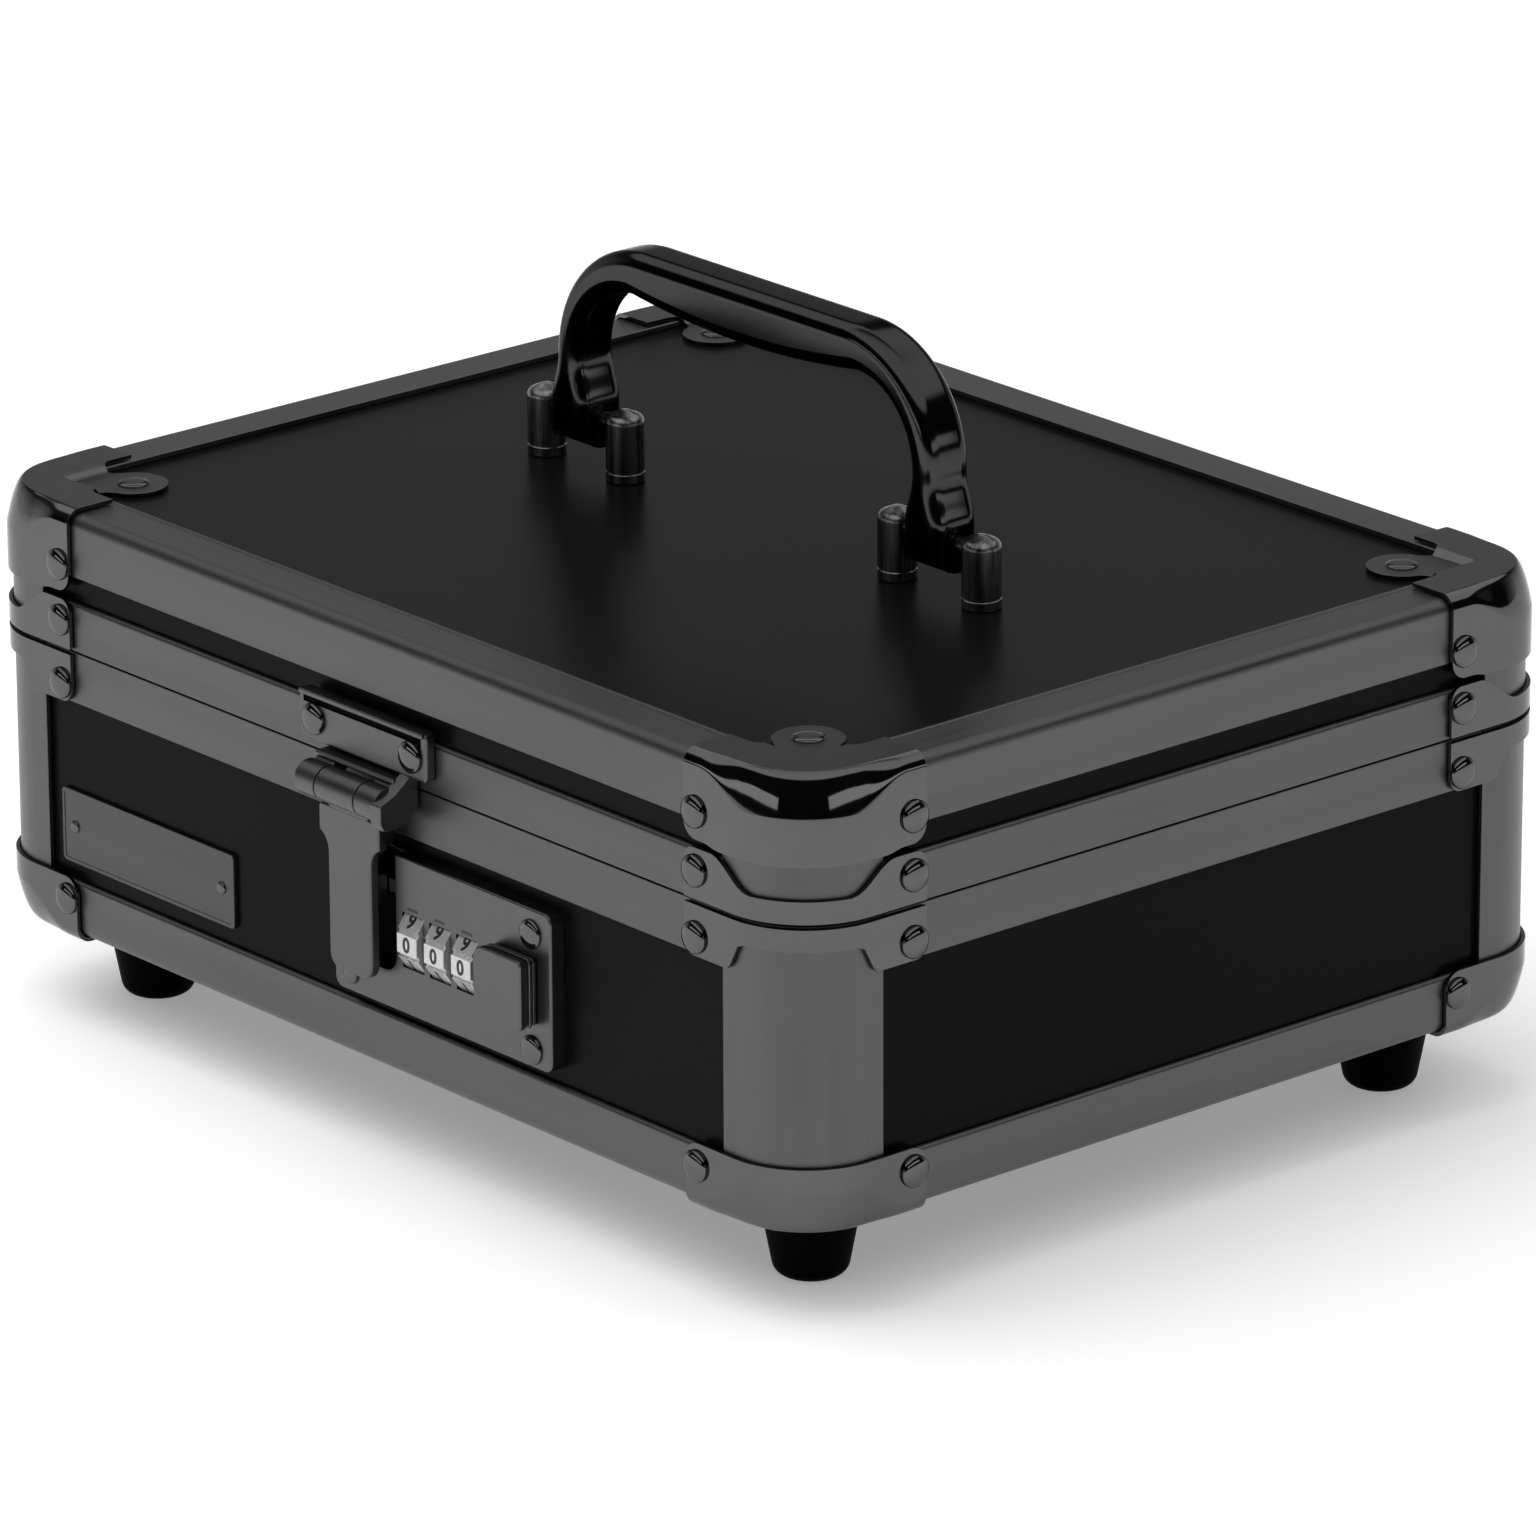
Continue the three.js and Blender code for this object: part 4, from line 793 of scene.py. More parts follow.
def cap_shape(tab, skirt, ear, ear_step=0.0):
    """A corner cap for the top of the box, with its flat face at z = 0."""
    plate, proud = settings("corners"), plate_proud()
    path = corner_path(proud, plate.tab_round)

    def place(i, j):
        (x, y), (out_x, out_y), t = path[i]
        bend = cap_bend(t)
        if j <= CAP_ROWS:
            inwards, down = bend[j]
            return Vector((x - out_x * inwards, y - out_y * inwards, proud - down))
        depth = tab_depth(t, tab, skirt, CAP_TURN, plate.tab_round)
        start = proud - bend[-1][1]
        return Vector((x, y, start + (-depth - start) * (j - CAP_ROWS) / TAB_ROWS))

    sheet = bent_sheet(len(path) - 1, CAP_ROWS + TAB_ROWS, place)
    rim = [vert for vert in sheet.verts if abs(vert.co.z - proud) < CLOSE]
    order = {tuple(round(c, 7) for c in vert.co): vert for vert in rim}
    outer = [order[tuple(round(c, 7) for c in place(i, 0))] for i in range(len(path))]
    inner = [sheet.verts.new((x, y, proud)) for x, y in flange_outline(*ear)]
    sheet.faces.new(outer + list(reversed(inner)))
    bmesh.ops.recalc_face_normals(sheet, faces=sheet.faces[:])
    flat = max(sheet.faces, key=lambda f: len(f.verts))
    if flat.normal.z < 0:
        bmesh.ops.reverse_faces(sheet, faces=sheet.faces[:])
    if ear_step:
        lowered_ear(sheet, proud, ear_step)
    return solid_sheet(sheet, plate.plate)


def lowered_ear(sheet, level, step):
    """Bends the ear down from the flange onto the board."""
    start, end = settings("shell").lip + 0.2 * MM, settings("shell").lip + 2 * MM
    for axis in ((1, 0, 0), (0, 1, 0)):
        for i in range(EAR_FOLDS + 1):
            place = start + (end - start) * i / EAR_FOLDS
            faces = [f for f in sheet.faces if all(abs(v.co.z - level) < CLOSE for v in f.verts)]
            parts = faces + [e for e in sheet.edges if any(f in faces for f in e.link_faces)]
            parts += [v for v in sheet.verts if any(f in faces for f in v.link_faces)]
            bmesh.ops.bisect_plane(sheet, geom=parts, dist=CLOSE, plane_co=(place, place, 0), plane_no=axis)
    for vert in sheet.verts:
        if abs(vert.co.z - level) < CLOSE:
            vert.co.z -= step * ease(min(vert.co.x, vert.co.y), start, end)


def side_rivets(height):
    """One rivet on each side of a corner."""
    plate, proud = settings("corners"), plate_proud()
    inset = plate.rivet_inset
    front = Matrix.Translation((inset, -proud, height)) @ Matrix.Rotation(math.pi / 2, 4, "X")
    side = Matrix.Translation((-proud, inset, height)) @ Matrix.Rotation(-math.pi / 2, 4, "Y")
    return [moved(rivet_head(plate.rivet, plate.rivet_height), place) for place in (front, side)]


def make_strips(corner, place):
    """The strips of the base and the lid at a corner."""
    low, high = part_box(f"base_corner_post_{corner}")[0].z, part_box(f"lid_corner_post_{corner}")[1].z
    for body, start, end in (("base", low, BASE_TOP), ("lid", LID_LOW, high)):
        strip = soften(prism(strip_section(), start, end), FINE_EDGE, 1, SQUARE)
        piece(f"{body}_strip_{corner}", strip, "aluminium_z", body, place,
              [f"{body}_corner_post_{corner}"])


def make_clamps(corner, place):
    """The rim clamps of the base and the lid at a corner, with their rivets."""
    gap, base_rivet, lid_rivet = settings("corners").clamp_gap, 7.4 * MM, 6.4 * MM
    for body, flat, direction, turn, rivet in (("base", BASE_TOP - gap, -1, BASE_CLAMP_TURN, base_rivet),
                                               ("lid", LID_LOW + gap, 1, LID_CLAMP_TURN, lid_rivet)):
        piece(f"{body}_clamp_{corner}", clamp_shape(flat, direction, turn), "plated", body, place)
        piece(f"{body}_clamp_rivets_{corner}", gathered(*side_rivets(flat + direction * rivet)), "plated", body,
              place)


def make_caps(corner, place):
    """The top and the bottom cap of a corner, with their rivets."""
    size, plate = settings("shell"), settings("corners")
    bottom, top = rail_levels()
    top_rivet, bottom_rivet = 12.2 * MM, 9.2 * MM
    over = Matrix.Rotation(math.pi, 4, Vector((1, 1, 0)).normalized())
    upper = place @ Matrix.Translation((0, 0, top))
    cap = cap_shape(plate.top_tab, plate.top_skirt, (plate.ear_inset, plate.ear, plate.fillet), plate.ear_step)
    fine(f"top_cap_{corner}", cap, "plated", "lid", upper)
    ear = rivet_head(plate.rivet, plate.ear_rivet, (plate.ear_inset, plate.ear_inset, plate_proud() - plate.ear_step))
    rivets = gathered(ear, *side_rivets(-top_rivet))
    piece(f"top_cap_rivets_{corner}", rivets, "plated", "lid", upper)
    lower = place @ Matrix.Translation((0, 0, bottom)) @ over
    cap = cap_shape(plate.bottom_tab, plate.bottom_tab, (size.foot_inset, plate.foot_ear, plate.fillet))
    fine(f"bottom_cap_{corner}", cap, "plated", "base", lower)
    rivets = gathered(*side_rivets(-bottom_rivet))
    piece(f"bottom_cap_rivets_{corner}", rivets, "plated", "base", lower)


class CASHBOX_OT_corners(bpy.types.Operator):
    """Make the corner strips, rim clamps, corner caps and their rivets"""
    bl_idname = "cashbox.corners"
    bl_label = "Corners"

    def execute(self, context):
        for corner in CORNERS:
            for make in (make_strips, make_clamps, make_caps):
                make(corner, outline_frame(corner))
        return {"FINISHED"}


class CASHBOX_OT_boards(bpy.types.Operator):
    """Finish the boards, the lock's inner pieces and the bolt of the frame"""
    bl_idname = "cashbox.boards"
    bl_label = "Boards"

    def execute(self, context):
        for node in ("base_front_board", "base_back_board", "base_left_board", "base_right_board",
                     "base_floor_board", "lid_board_box"):
            dress(node, "laminate")
        dress("lock_case", "steel")
        dress("lock_bolt", "cast")
        return {"FINISHED"}


class CASHBOX_OT_feet(bpy.types.Operator):
    """Make the four tapered rubber feet"""
    bl_idname = "cashbox.feet"
    bl_label = "Feet"

    def execute(self, context):
        inset = settings("shell").foot_inset
        top, low, edge = 12 * MM, 8.6 * MM, 3.4 * MM
        recess, depth, bevel, rim = 3.4 * MM, 5 * MM, 0.4 * MM, 0.6 * MM
        profile = [(0, depth), (recess - bevel, depth), (recess, depth - bevel), (recess, bevel),
                   (recess + bevel, 0), *arc(low - edge, edge, edge, -90, -8, 8),
                   (top - rim / 2, FOOT_TOP - rim), (top - rim, FOOT_TOP), (0, FOOT_TOP)]
        for corner in CORNERS:
            fine(f"foot_{corner}", turned(profile, 48), "rubber", "base",
                 outline_frame(corner) @ Matrix.Translation((inset, inset, 0)))
        return {"FINISHED"}


class CASHBOX_OT_name_plate(bpy.types.Operator):
    """Make the bare name plate with its two pins"""
    bl_idname = "cashbox.name_plate"
    bl_label = "Name plate"

    def execute(self, context):
        left, right, bottom, top, back, front = front_box("name_plate")
        pin, pin_height, pin_inset = 1.5 * MM, 0.65 * MM, 4.6 * MM
        corner, edge, rim, recess = 1.2 * MM, 0.25 * MM, 0.9 * MM, 0.12 * MM
        face = front - 0.6 * MM
        plate = soften(prism(rounded(left, right, bottom, top, corner), back, face), edge, 2, SQUARE, edges_above(face))
        well = rounded(left + rim, right - rim, bottom + rim, top - rim, 0.7 * MM)
        fine("name_plate", carved(plate, prism(well, face - recess, face + MM)), "name_plate", "base",
             FRONT_FRAME)
        pins = [rivet_head(pin, pin_height, (x, (bottom + top) / 2, face - recess))
                for x in (left + pin_inset, right - pin_inset)]
        piece("name_plate_pins", gathered(*pins), "plated", "base", FRONT_FRAME)
        return {"FINISHED"}


# Lock

FIGURES = 10
FIGURE_FIT = 0.72  # height of a figure for a text size of 1
TRAVEL = 3.2 * MM  # how far the button slides
BOLT_HEIGHT = 3 * MM  # height of the bolt's nose
WEB = 0.8 * MM  # metal left behind the hasp's pocket and before the bolt


def dial_axis():
    """Height of the dials' axis and its distance from the rails' face."""
    low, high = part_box("dial_2")
    return (low.z + high.z) / 2 - RAILS_LOW, FRONT - (low.y + high.y) / 2


def dial_places():
    """Middles of the three dials along the front."""
    size = settings("lock")
    return [size.dial_first + i * size.dial_pitch for i in range(3)]


def stem(back, face, gap=0.0, travel=0.0):
    """The button's stem, or with a gap and a travel the slot that it slides in."""
    height, _ = dial_axis()
    left, right, below, above = 46.5 * MM, 53 * MM, 3 * MM, 4 * MM
    return block(left - gap, right + travel + gap, height - below - gap, height + above + gap, back, face)


class CASHBOX_OT_lock_plate(bpy.types.Operator):
    """Make the lock plate with the hasp's pocket, the dial windows, the button's slot and the screws"""
    bl_idname = "cashbox.lock_plate"
    bl_label = "Lock plate"

    def execute(self, context):
        size = settings("lock")
        left, right, bottom, top, back, _ = front_box("lock_plate")
        _, bolt_right, bolt_low, bolt_high, _, _ = front_box("lock_bolt")
        height, out = dial_axis()
        gap, face, behind = size.running, size.proud, 2 * back
        corner, pocket_corner, room_left = 2.5 * MM, 4 * MM, 45.5 * MM
        plate = prism(rounded(left, right, bottom, top, corner), back, face)
        soften(plate, size.chamfer, 3, SQUARE, edges_above(face))
        pocket_low, pocket_floor = bottom + size.pocket_rise, back + WEB
        pocket = prism(rounded(size.pocket_left, size.pocket_right, pocket_low, 2 * top, pocket_corner),
                       pocket_floor, 2 * face)
        wide = size.dial_width / 2 + gap
        windows = [cylinder_x(height, out, size.dial + gap, x - wide, x + wide, 56) for x in dial_places()]
        end, low, high = bolt_right + TRAVEL + gap, bolt_low - gap, bolt_high + gap
        channel = block(size.pocket_right - WEB, end, high - BOLT_HEIGHT - 2 * gap, high, behind, face - WEB)
        room = block(room_left - gap, end, low, high, behind, face - WEB)
        plate = carved(plate, pocket, *windows, stem(0, 2 * face, gap, TRAVEL), channel, room)
        fine("lock_plate", plate, "cast", "base", FRONT_FRAME, 30)
        screw_right, screw_left, screw_top, screw_bottom = (
            right - 6.6 * MM, left + 5.9 * MM, top - 5.8 * MM, bottom + 4.1 * MM)
        screws = [rivet_head(radius, 1.3 * MM, (x, y, face)) for radius, x, y in (
            (size.screw, screw_right, screw_top), (size.screw, screw_right, screw_bottom),
            (0.65 * size.screw, screw_left, screw_bottom))]
        piece("lock_plate_screws", gathered(*screws), "plated", "base", FRONT_FRAME)
        # Painted shade: a thin black rubber sheet on the pocket's floor darkens the pocket where shadow falls behind
        # the hasp's strap.
        pocket_shade_outline = rounded(size.pocket_left + gap, size.pocket_right - gap, pocket_low + gap, top - gap,
                         pocket_corner - gap)
        piece("lock_plate_pocket_shade", prism(pocket_shade_outline, pocket_floor, pocket_floor + 0.05 * MM), "rubber", "base",
              FRONT_FRAME)
        line = height + math.sqrt(size.dial ** 2 - (face - out) ** 2) + 1.5 * MM
        long, thick, sunk, raised = 1.9 * MM, 0.35 * MM, 0.2 * MM, 0.03 * MM
        dashes = [prism(rounded(x - long, x + long, line - thick, line + thick, 0.34 * MM, 3), face - sunk,
                        face + raised) for x in dial_places()]
        piece("lock_plate_marks", gathered(*dashes), "ink", "base", FRONT_FRAME)
        return {"FINISHED"}


def figure(text, height):
    """One figure, standing upright in X and Y round the origin."""
    font = bpy.data.curves.new("figure", "FONT")
    font.body = text
    font.size = height / FIGURE_FIT
    font.align_x, font.align_y = "CENTER", "CENTER"
    font.extrude = 0.05 * MM
    font.offset = 0.14 * MM
    font.resolution_u = 3
    thing = placed("figure", font)
    shape = shape_of(thing)
    bpy.data.objects.remove(thing)
    bpy.data.curves.remove(font)
    xs, ys = [v.co.x for v in shape.verts], [v.co.y for v in shape.verts]
    middle = (-(min(xs) + max(xs)) / 2, -(min(ys) + max(ys)) / 2, 0)
    bmesh.ops.translate(shape, verts=shape.verts[:], vec=middle)
    bmesh.ops.remove_doubles(shape, verts=shape.verts[:], dist=1e-7)
    return shape


class CASHBOX_OT_dials(bpy.types.Operator):
    """Make the three number dials with their figures"""
    bl_idname = "cashbox.dials"
    bl_label = "Dials"

    def execute(self, context):
        size = settings("lock")
        height, out = dial_axis()
        step = 2 * math.pi / FIGURES
        half, groove, bore = 0.4 * step, 0.43 * step, 1.8 * MM
        flat, deep, wide = size.dial * math.cos(half), size.dial - size.dial_groove, size.dial_width / 2
        for number, x in enumerate(dial_places()):
            points = []
            for i in range(FIGURES):
                for turn, radius in ((-half, size.dial), (half, size.dial), (groove, deep), (step - groove, deep)):
                    angle = i * step + turn
                    points.append((height + radius * math.sin(angle), out + radius * math.cos(angle)))
            wheel = soften(along_x(points, x - wide, x + wide), 0.3 * MM, 2, SQUARE, edges_across(0))
            hole = cylinder_x(height, out, bore, x - 2 * wide, x + 2 * wide, 24)
            name = f"dial_{number + 1}"
            fine(name, carved(wheel, hole), "dial", name, FRONT_FRAME)
            figures = []
            for i in range(FIGURES):
                turn = Matrix.Rotation(-i * step, 4, "X")
                place = Matrix.Translation((x, height, out)) @ turn @ Matrix.Translation((0, 0, flat))
                figures.append(moved(figure(str((FIGURES - i) % FIGURES), size.figure), place))
            piece(f"{name}_figures", gathered(*figures), "ink", name, FRONT_FRAME)
        return {"FINISHED"}


class CASHBOX_OT_button(bpy.types.Operator):
    """Make the slide button with its grooved side and stem"""
    bl_idname = "cashbox.button"
    bl_label = "Slide button"

    def execute(self, context):
        left, right, bottom, top, back, face = front_box("slide_button")
        rear = settings("lock").proud + settings("lock").running
        left_round, right_round, groove = 3.2 * MM, 1.4 * MM, 0.8 * MM
        cap_back, body_front, body_back = face - 2 * MM, face - 2.6 * MM, rear + 1.2 * MM
        # Inset, back, front and edge of the cap, the grooved core, the body and the foot
        slabs = ((0, cap_back, face, 0.5 * MM), (groove, rear + 0.2 * MM, face - MM, 0.1 * MM),
                 (0, body_back, body_front, 0.25 * MM), (0.3 * MM, rear, rear + 0.8 * MM, 0.15 * MM))
        parts = []
        for inset, near, far, edge in slabs:
            r, s = left_round - inset, right_round - inset
            x0, x1, y0, y1 = left + inset, right - inset, bottom + inset, top - inset
            outline = (arc(x1 - s, y0 + s, s, -90, 0, 5) + arc(x1 - s, y1 - s, s, 0, 90, 5)
                       + arc(x0 + r, y1 - r, r, 90, 180, 8) + arc(x0 + r, y0 + r, r, 180, 270, 8))
            parts.append(soften(prism(outline, near, far), edge, 3, SQUARE, edges_across(2)))
        fine("slide_button", gathered(*parts, stem(back, rear + MM)), "cast", "slide", FRONT_FRAME)
        return {"FINISHED"}


# Hasp

def hasp_axis():
    """Height of the hasp's pin and its distance from the rails' face."""
    return LID_LOW - RAILS_LOW - 3.3 * MM, 7.1 * MM


class CASHBOX_OT_hasp_plate(bpy.types.Operator):
    """Make the hasp plate with its raised lip, outer knuckles, pin, cheek and rivets"""
    bl_idname = "cashbox.hasp_plate"
    bl_label = "Hasp plate"

    def execute(self, context):
        size, back = settings("hasp"), settings("shell").fit
        half_width, rise, reach_up, thickness = 22 * MM, 2.8 * MM, 14.4 * MM, 2.4 * MM
        rivet, rivet_height, rivet_place, rivet_rise = 3.7 * MM, 1.7 * MM, 16.8 * MM, 8 * MM
        axis, out = hasp_axis()
        lid_low, face = LID_LOW - RAILS_LOW, back + thickness
        bottom, top = lid_low + rise, lid_low + reach_up
        left, right = size.middle - half_width, size.middle + half_width
        corner, edge = 1.5 * MM, 0.7 * MM
        plate = prism(rounded(left, right, bottom, top, corner), back, face)
        soften(plate, edge, 3, SQUARE, edges_above(face))
        depth, margin, lip_inset = 0.5 * MM, 1.6 * MM, 0.6 * MM
        end = right - margin
        # A long groove under the lip, and its short turn downwards at the right end
        grooves = ((left + margin, end, top - 3 * MM, top - 1.2 * MM),
                   (end - 1.3 * MM, end, top - 5 * MM, top - 2 * MM))
        plate = carved(plate, *[block(*groove, face - depth, 2 * face) for groove in grooves])
        # Painted shade: a thin black rubber sheet on the grooves' floor darkens them where the lip's shadow falls.
        groove_shade = combined("UNION", *[block(*groove, face - depth, face - 0.8 * depth) for groove in grooves])
        piece("hasp_plate_groove_shade", groove_shade, "rubber", "lid", FRONT_FRAME)
        lip = block(left + lip_inset, right - lip_inset, top - 1.3 * MM, top - 0.05 * MM, face - 0.8 * MM,
                    face + 0.7 * MM)
        outer, inner = size.barrel_width / 2, size.knuckle / 2 + 0.3 * MM
        ridge_low, ridge_height, ridge_proud = axis + size.barrel + 0.25 * MM, 1.3 * MM, 2.6 * MM
        ridge = block(size.middle - outer, size.middle + outer, ridge_low, ridge_low + ridge_height, back,
                      face + ridge_proud)
        high, knuckle_edge = ridge_low + 0.6 * MM, 0.3 * MM
        web = [(axis, out - size.barrel), (axis + 2 * MM, out - 0.5 * MM), (high, out - 3 * MM), (high, back),
               (axis + 3 * MM, back)]
        parts = [plate, soften(lip, 0.35 * MM, 3), soften(ridge, 0.5 * MM, 3)]
        for x0, x1 in ((size.middle - outer, size.middle - inner), (size.middle + inner, size.middle + outer)):
            parts.append(soften(cylinder_x(axis, out, size.barrel, x0, x1, 48), knuckle_edge, 2, SQUARE))
            parts.append(soften(along_x(web, x0 + 0.1 * MM, x1 - 0.1 * MM), knuckle_edge, 2, SHARP))
        parts.append(cylinder_x(axis, out, size.pin, size.middle - outer + MM, size.middle + outer - MM, 24))
        half, reach = 4.9 * MM, 11.3 * MM
        low, high = axis - half, axis + half
        cheek = [(low + 4 * MM, back), (low, out - 2.4 * MM), (low + 0.5 * MM, reach - MM), (low + 2.4 * MM, reach),
                 (axis + 1.6 * MM, reach), (high - 1.6 * MM, out), (high + 1.8 * MM, face), (high + 1.8 * MM, back)]
        cheek_left, cheek_right = size.middle + outer - 0.7 * MM, size.middle + outer + 2.8 * MM
        parts.append(soften(along_x(cheek, cheek_left, cheek_right), 0.4 * MM, 3))
        fine("hasp_plate", gathered(*parts), "cast", "lid", FRONT_FRAME)
        rivets = [rivet_head(rivet, rivet_height, (size.middle + x, lid_low + rivet_rise, face))
                  for x in (-rivet_place, rivet_place)]
        piece("hasp_plate_rivets", gathered(*rivets), "plated", "lid", FRONT_FRAME)
        return {"FINISHED"}


def shoulder_levels():
    """Lower and upper edge of the arm's shoulder."""
    below_pin, height = 5 * MM, 6.5 * MM
    high = hasp_axis()[0] - below_pin
    return high - height, high


def arm_outline():
    """The hasp's arm seen from the front: a narrow strap that flares into the shoulder under its knuckle."""
    size, (low, high) = settings("hasp"), shoulder_levels()
    flare, corner, tip, strap_rise = 4.2 * MM, 1.2 * MM, size.strap_round, 6.8 * MM
    half, wide, end = size.arm_width / 2, size.shoulder_width / 2, front_box("lock_plate")[2] + strap_rise
    right = [(half, low - flare)]
    p0, p1, p2 = right[0], (half + 0.3 * MM, low - 0.3 * flare), (wide, low)
    for i in range(1, 9):
        t = i / 8
        right.append(tuple((1 - t) ** 2 * p0[k] + 2 * t * (1 - t) * p1[k] + t * t * p2[k] for k in (0, 1)))
    left = [(-x, y) for x, y in reversed(right)]
    top = (arc(wide - corner, high - corner, corner, 0, 90, 5)
           + arc(-wide + corner, high - corner, corner, 90, 180, 5))
    return (right + top + left + arc(tip - half, end + tip, tip, 180, 270, 10)
            + arc(half - tip, end + tip, tip, 270, 360, 10))


class CASHBOX_OT_hasp_arm(bpy.types.Operator):
    """Make the hasp's arm with its knuckle, shoulder, strap and catch"""
    bl_idname = "cashbox.hasp_arm"
    bl_label = "Hasp arm"

    def execute(self, context):
        size = settings("hasp")
        (axis, out), (low, high) = hasp_axis(), shoulder_levels()
        face, wide, neck, inset = size.arm_front, size.shoulder_width / 2, size.knuckle / 2, 0.5 * MM
        strap = soften(prism(arm_outline(), face - 2.2 * MM, face), 0.55 * MM, 3, SHARP, edges_above(face))
        shoulder = soften(block(-wide + inset, wide - inset, low + inset, high, face - 4.8 * MM, face - 1.6 * MM),
                          0.4 * MM, 3)
        bridge = soften(block(-neck, neck, high - inset, axis - inset, face - 4.3 * MM, face), 0.3 * MM, 2)
        knuckle = soften(cylinder_x(axis, out, size.barrel, -neck, neck, 48), 0.3 * MM, 2, SQUARE)
        knuckle = carved(knuckle, cylinder_x(axis, out, size.pin + 0.2 * MM, -2 * neck, 2 * neck, 24))
        bolt_high, gap = front_box("lock_bolt")[3], 0.3 * MM
        bolt_low = bolt_high - BOLT_HEIGHT
        lug = block(-3 * MM, 7 * MM, bolt_low - 2.4 * MM, bolt_high + 1.2 * MM, -0.5 * MM, face - 1.7 * MM)
        notch = block(3.8 * MM, 14 * MM, bolt_low - gap, bolt_high + gap, 0.1 * MM, 1.6 * MM)
        lug = moved(carved(soften(lug, 0.2 * MM, 1), notch), Matrix.Translation((-size.middle, 0, 0)))
        fine("hasp_arm", gathered(strap, shoulder, bridge, knuckle, lug), "cast", "hasp",
             FRONT_FRAME @ Matrix.Translation((size.middle, 0, 0)))
        return {"FINISHED"}


class CASHBOX_OT_hinges(bpy.types.Operator):
    """Make the two steel lid hinges on the back"""
    bl_idname = "cashbox.hinges"
    bl_label = "Hinges"

    def execute(self, context):
        seam, back = SEAM - RAILS_LOW, settings("shell").fit
        half, inner, thick, out, barrel = 22 * MM, 7.5 * MM, 1.2 * MM, 3.6 * MM, 3.1 * MM
        gap, bore, pin, leaf_start, leaf_end = 0.3 * MM, 1.6 * MM, 1.3 * MM, 1.2 * MM, 11 * MM
        rivet, rivet_rise, rivet_inset = 2.2 * MM, 7.4 * MM, 5 * MM
        face, key = back + thick, inner - gap
        # The knuckles of each leaf, and where the other leaf's knuckles turn
        leaves = (("lower", -1, "base", [(-half, -inner), (inner, half)], [(-inner, inner)]),
                  ("upper", 1, "lid", [(-key, key)], [(-2 * half, -key), (key, 2 * half)]))
        for side in ("left", "right"):
            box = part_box(f"hinge_leaf_lower_{side}")
            place = back_frame((box[0].x + box[1].x) / 2)
            for level, up, body, own, others in leaves:
                near, far = seam + up * leaf_start, seam + up * leaf_end
                leaf = prism(rounded(-half, half, min(near, far), max(near, far), 0.6 * MM), back, face)
                soften(leaf, 0.25 * MM, 2, SQUARE, edges_above(face))
                leaf = carved(leaf, *[cylinder_x(seam, out, barrel + gap, x0, x1, 40) for x0, x1 in others])
                knuckles = [soften(cylinder_x(seam, out, barrel, x0, x1, 40), 0.35 * MM, 2, SQUARE) for x0, x1 in own]
                if level == "upper":
                    knuckles = [carved(k, cylinder_x(seam, out, bore, -half, half, 20)) for k in knuckles]
                else:
                    knuckles.append(cylinder_x(seam, out, pin, -half + thick, half - thick, 20))
                heads = [rivet_head(rivet, MM, (i * (half - rivet_inset), seam + up * rivet_rise, face))
                         for i in (-1, 0, 1)]
                fine(f"hinge_leaf_{level}_{side}", gathered(leaf, *knuckles, *heads), "steel", body,
                     place)
        return {"FINISHED"}


# Handle and tray

def handle_outline():
    """The handle seen from the front, from one foot round to the other and back under the grip."""
    size = settings("handle")
    low, flare, start, middle = size.pivot - size.foot, 16 * MM, 20 * MM, 23 * MM
    outer, inner = size.leg + size.leg_width / 2, size.leg - size.leg_width / 2
    foot_outer, foot_inner = size.leg + size.foot_width / 2, size.leg - size.foot_width / 2
    under, swell = size.top - size.grip, size.top - size.grip_middle
    bulge = 0.35 * (inner - size.inner)
    right = [(foot_inner, low), (foot_outer, low), (foot_outer, flare)]
    right += curve((foot_outer, flare), (foot_outer, start), (outer, middle), (outer, size.top - size.outer), 14)
    right += arc(outer - size.outer, size.top - size.outer, size.outer, 0, 90, 24)[1:]
    inside = [(inner, under - size.inner), *curve((inner, under - size.inner), (inner, middle), (foot_inner, start),
                                                 (foot_inner, flare), 14)]
    bend = arc(inner - size.inner, under - size.inner, size.inner, 90, 0, 20)
    belly = curve((-inner + size.inner, under), (-bulge, swell), (bulge, swell), (inner - size.inner, under), 28)
    left, left_inside, left_bend = [[(-x, y) for x, y in reversed(half)] for half in (right, inside, bend)]
    return right + left + left_inside + left_bend[1:] + belly[:-1] + bend[:-1] + inside[:-1]


class CASHBOX_OT_handle(bpy.types.Operator):
    """Make the cast handle with its swelling grip, rounded edges and bored feet"""
    bl_idname = "cashbox.handle"
    bl_label = "Handle"

    def execute(self, context):
        size = settings("handle")
        half, low = size.depth / 2, size.pivot - size.foot
        body = soften(prism(handle_outline(), -half, half), size.edge, 7, SQUARE, edges_across(2))
        moved(body, Matrix.Rotation(math.pi / 2, 4, "X"))
        below = [(-2 * half, low - MM), (2 * half, low - MM), (2 * half, size.pivot),
                 *arc(0, size.pivot, size.foot, 0, -180, 28), (-2 * half, size.pivot)]
        cutters = []
        for leg in (-size.leg, size.leg):
            x0, x1 = leg - size.foot_width, leg + size.foot_width
            cutters.append(along_x(below, x0, x1))
            cutters.append(cylinder_x(0, size.pivot, size.pin + 0.3 * MM, x0, x1, 28))
        fine("handle", carved(body, *cutters), "black_chrome", "handle", LID_FRAME, 32)
        return {"FINISHED"}


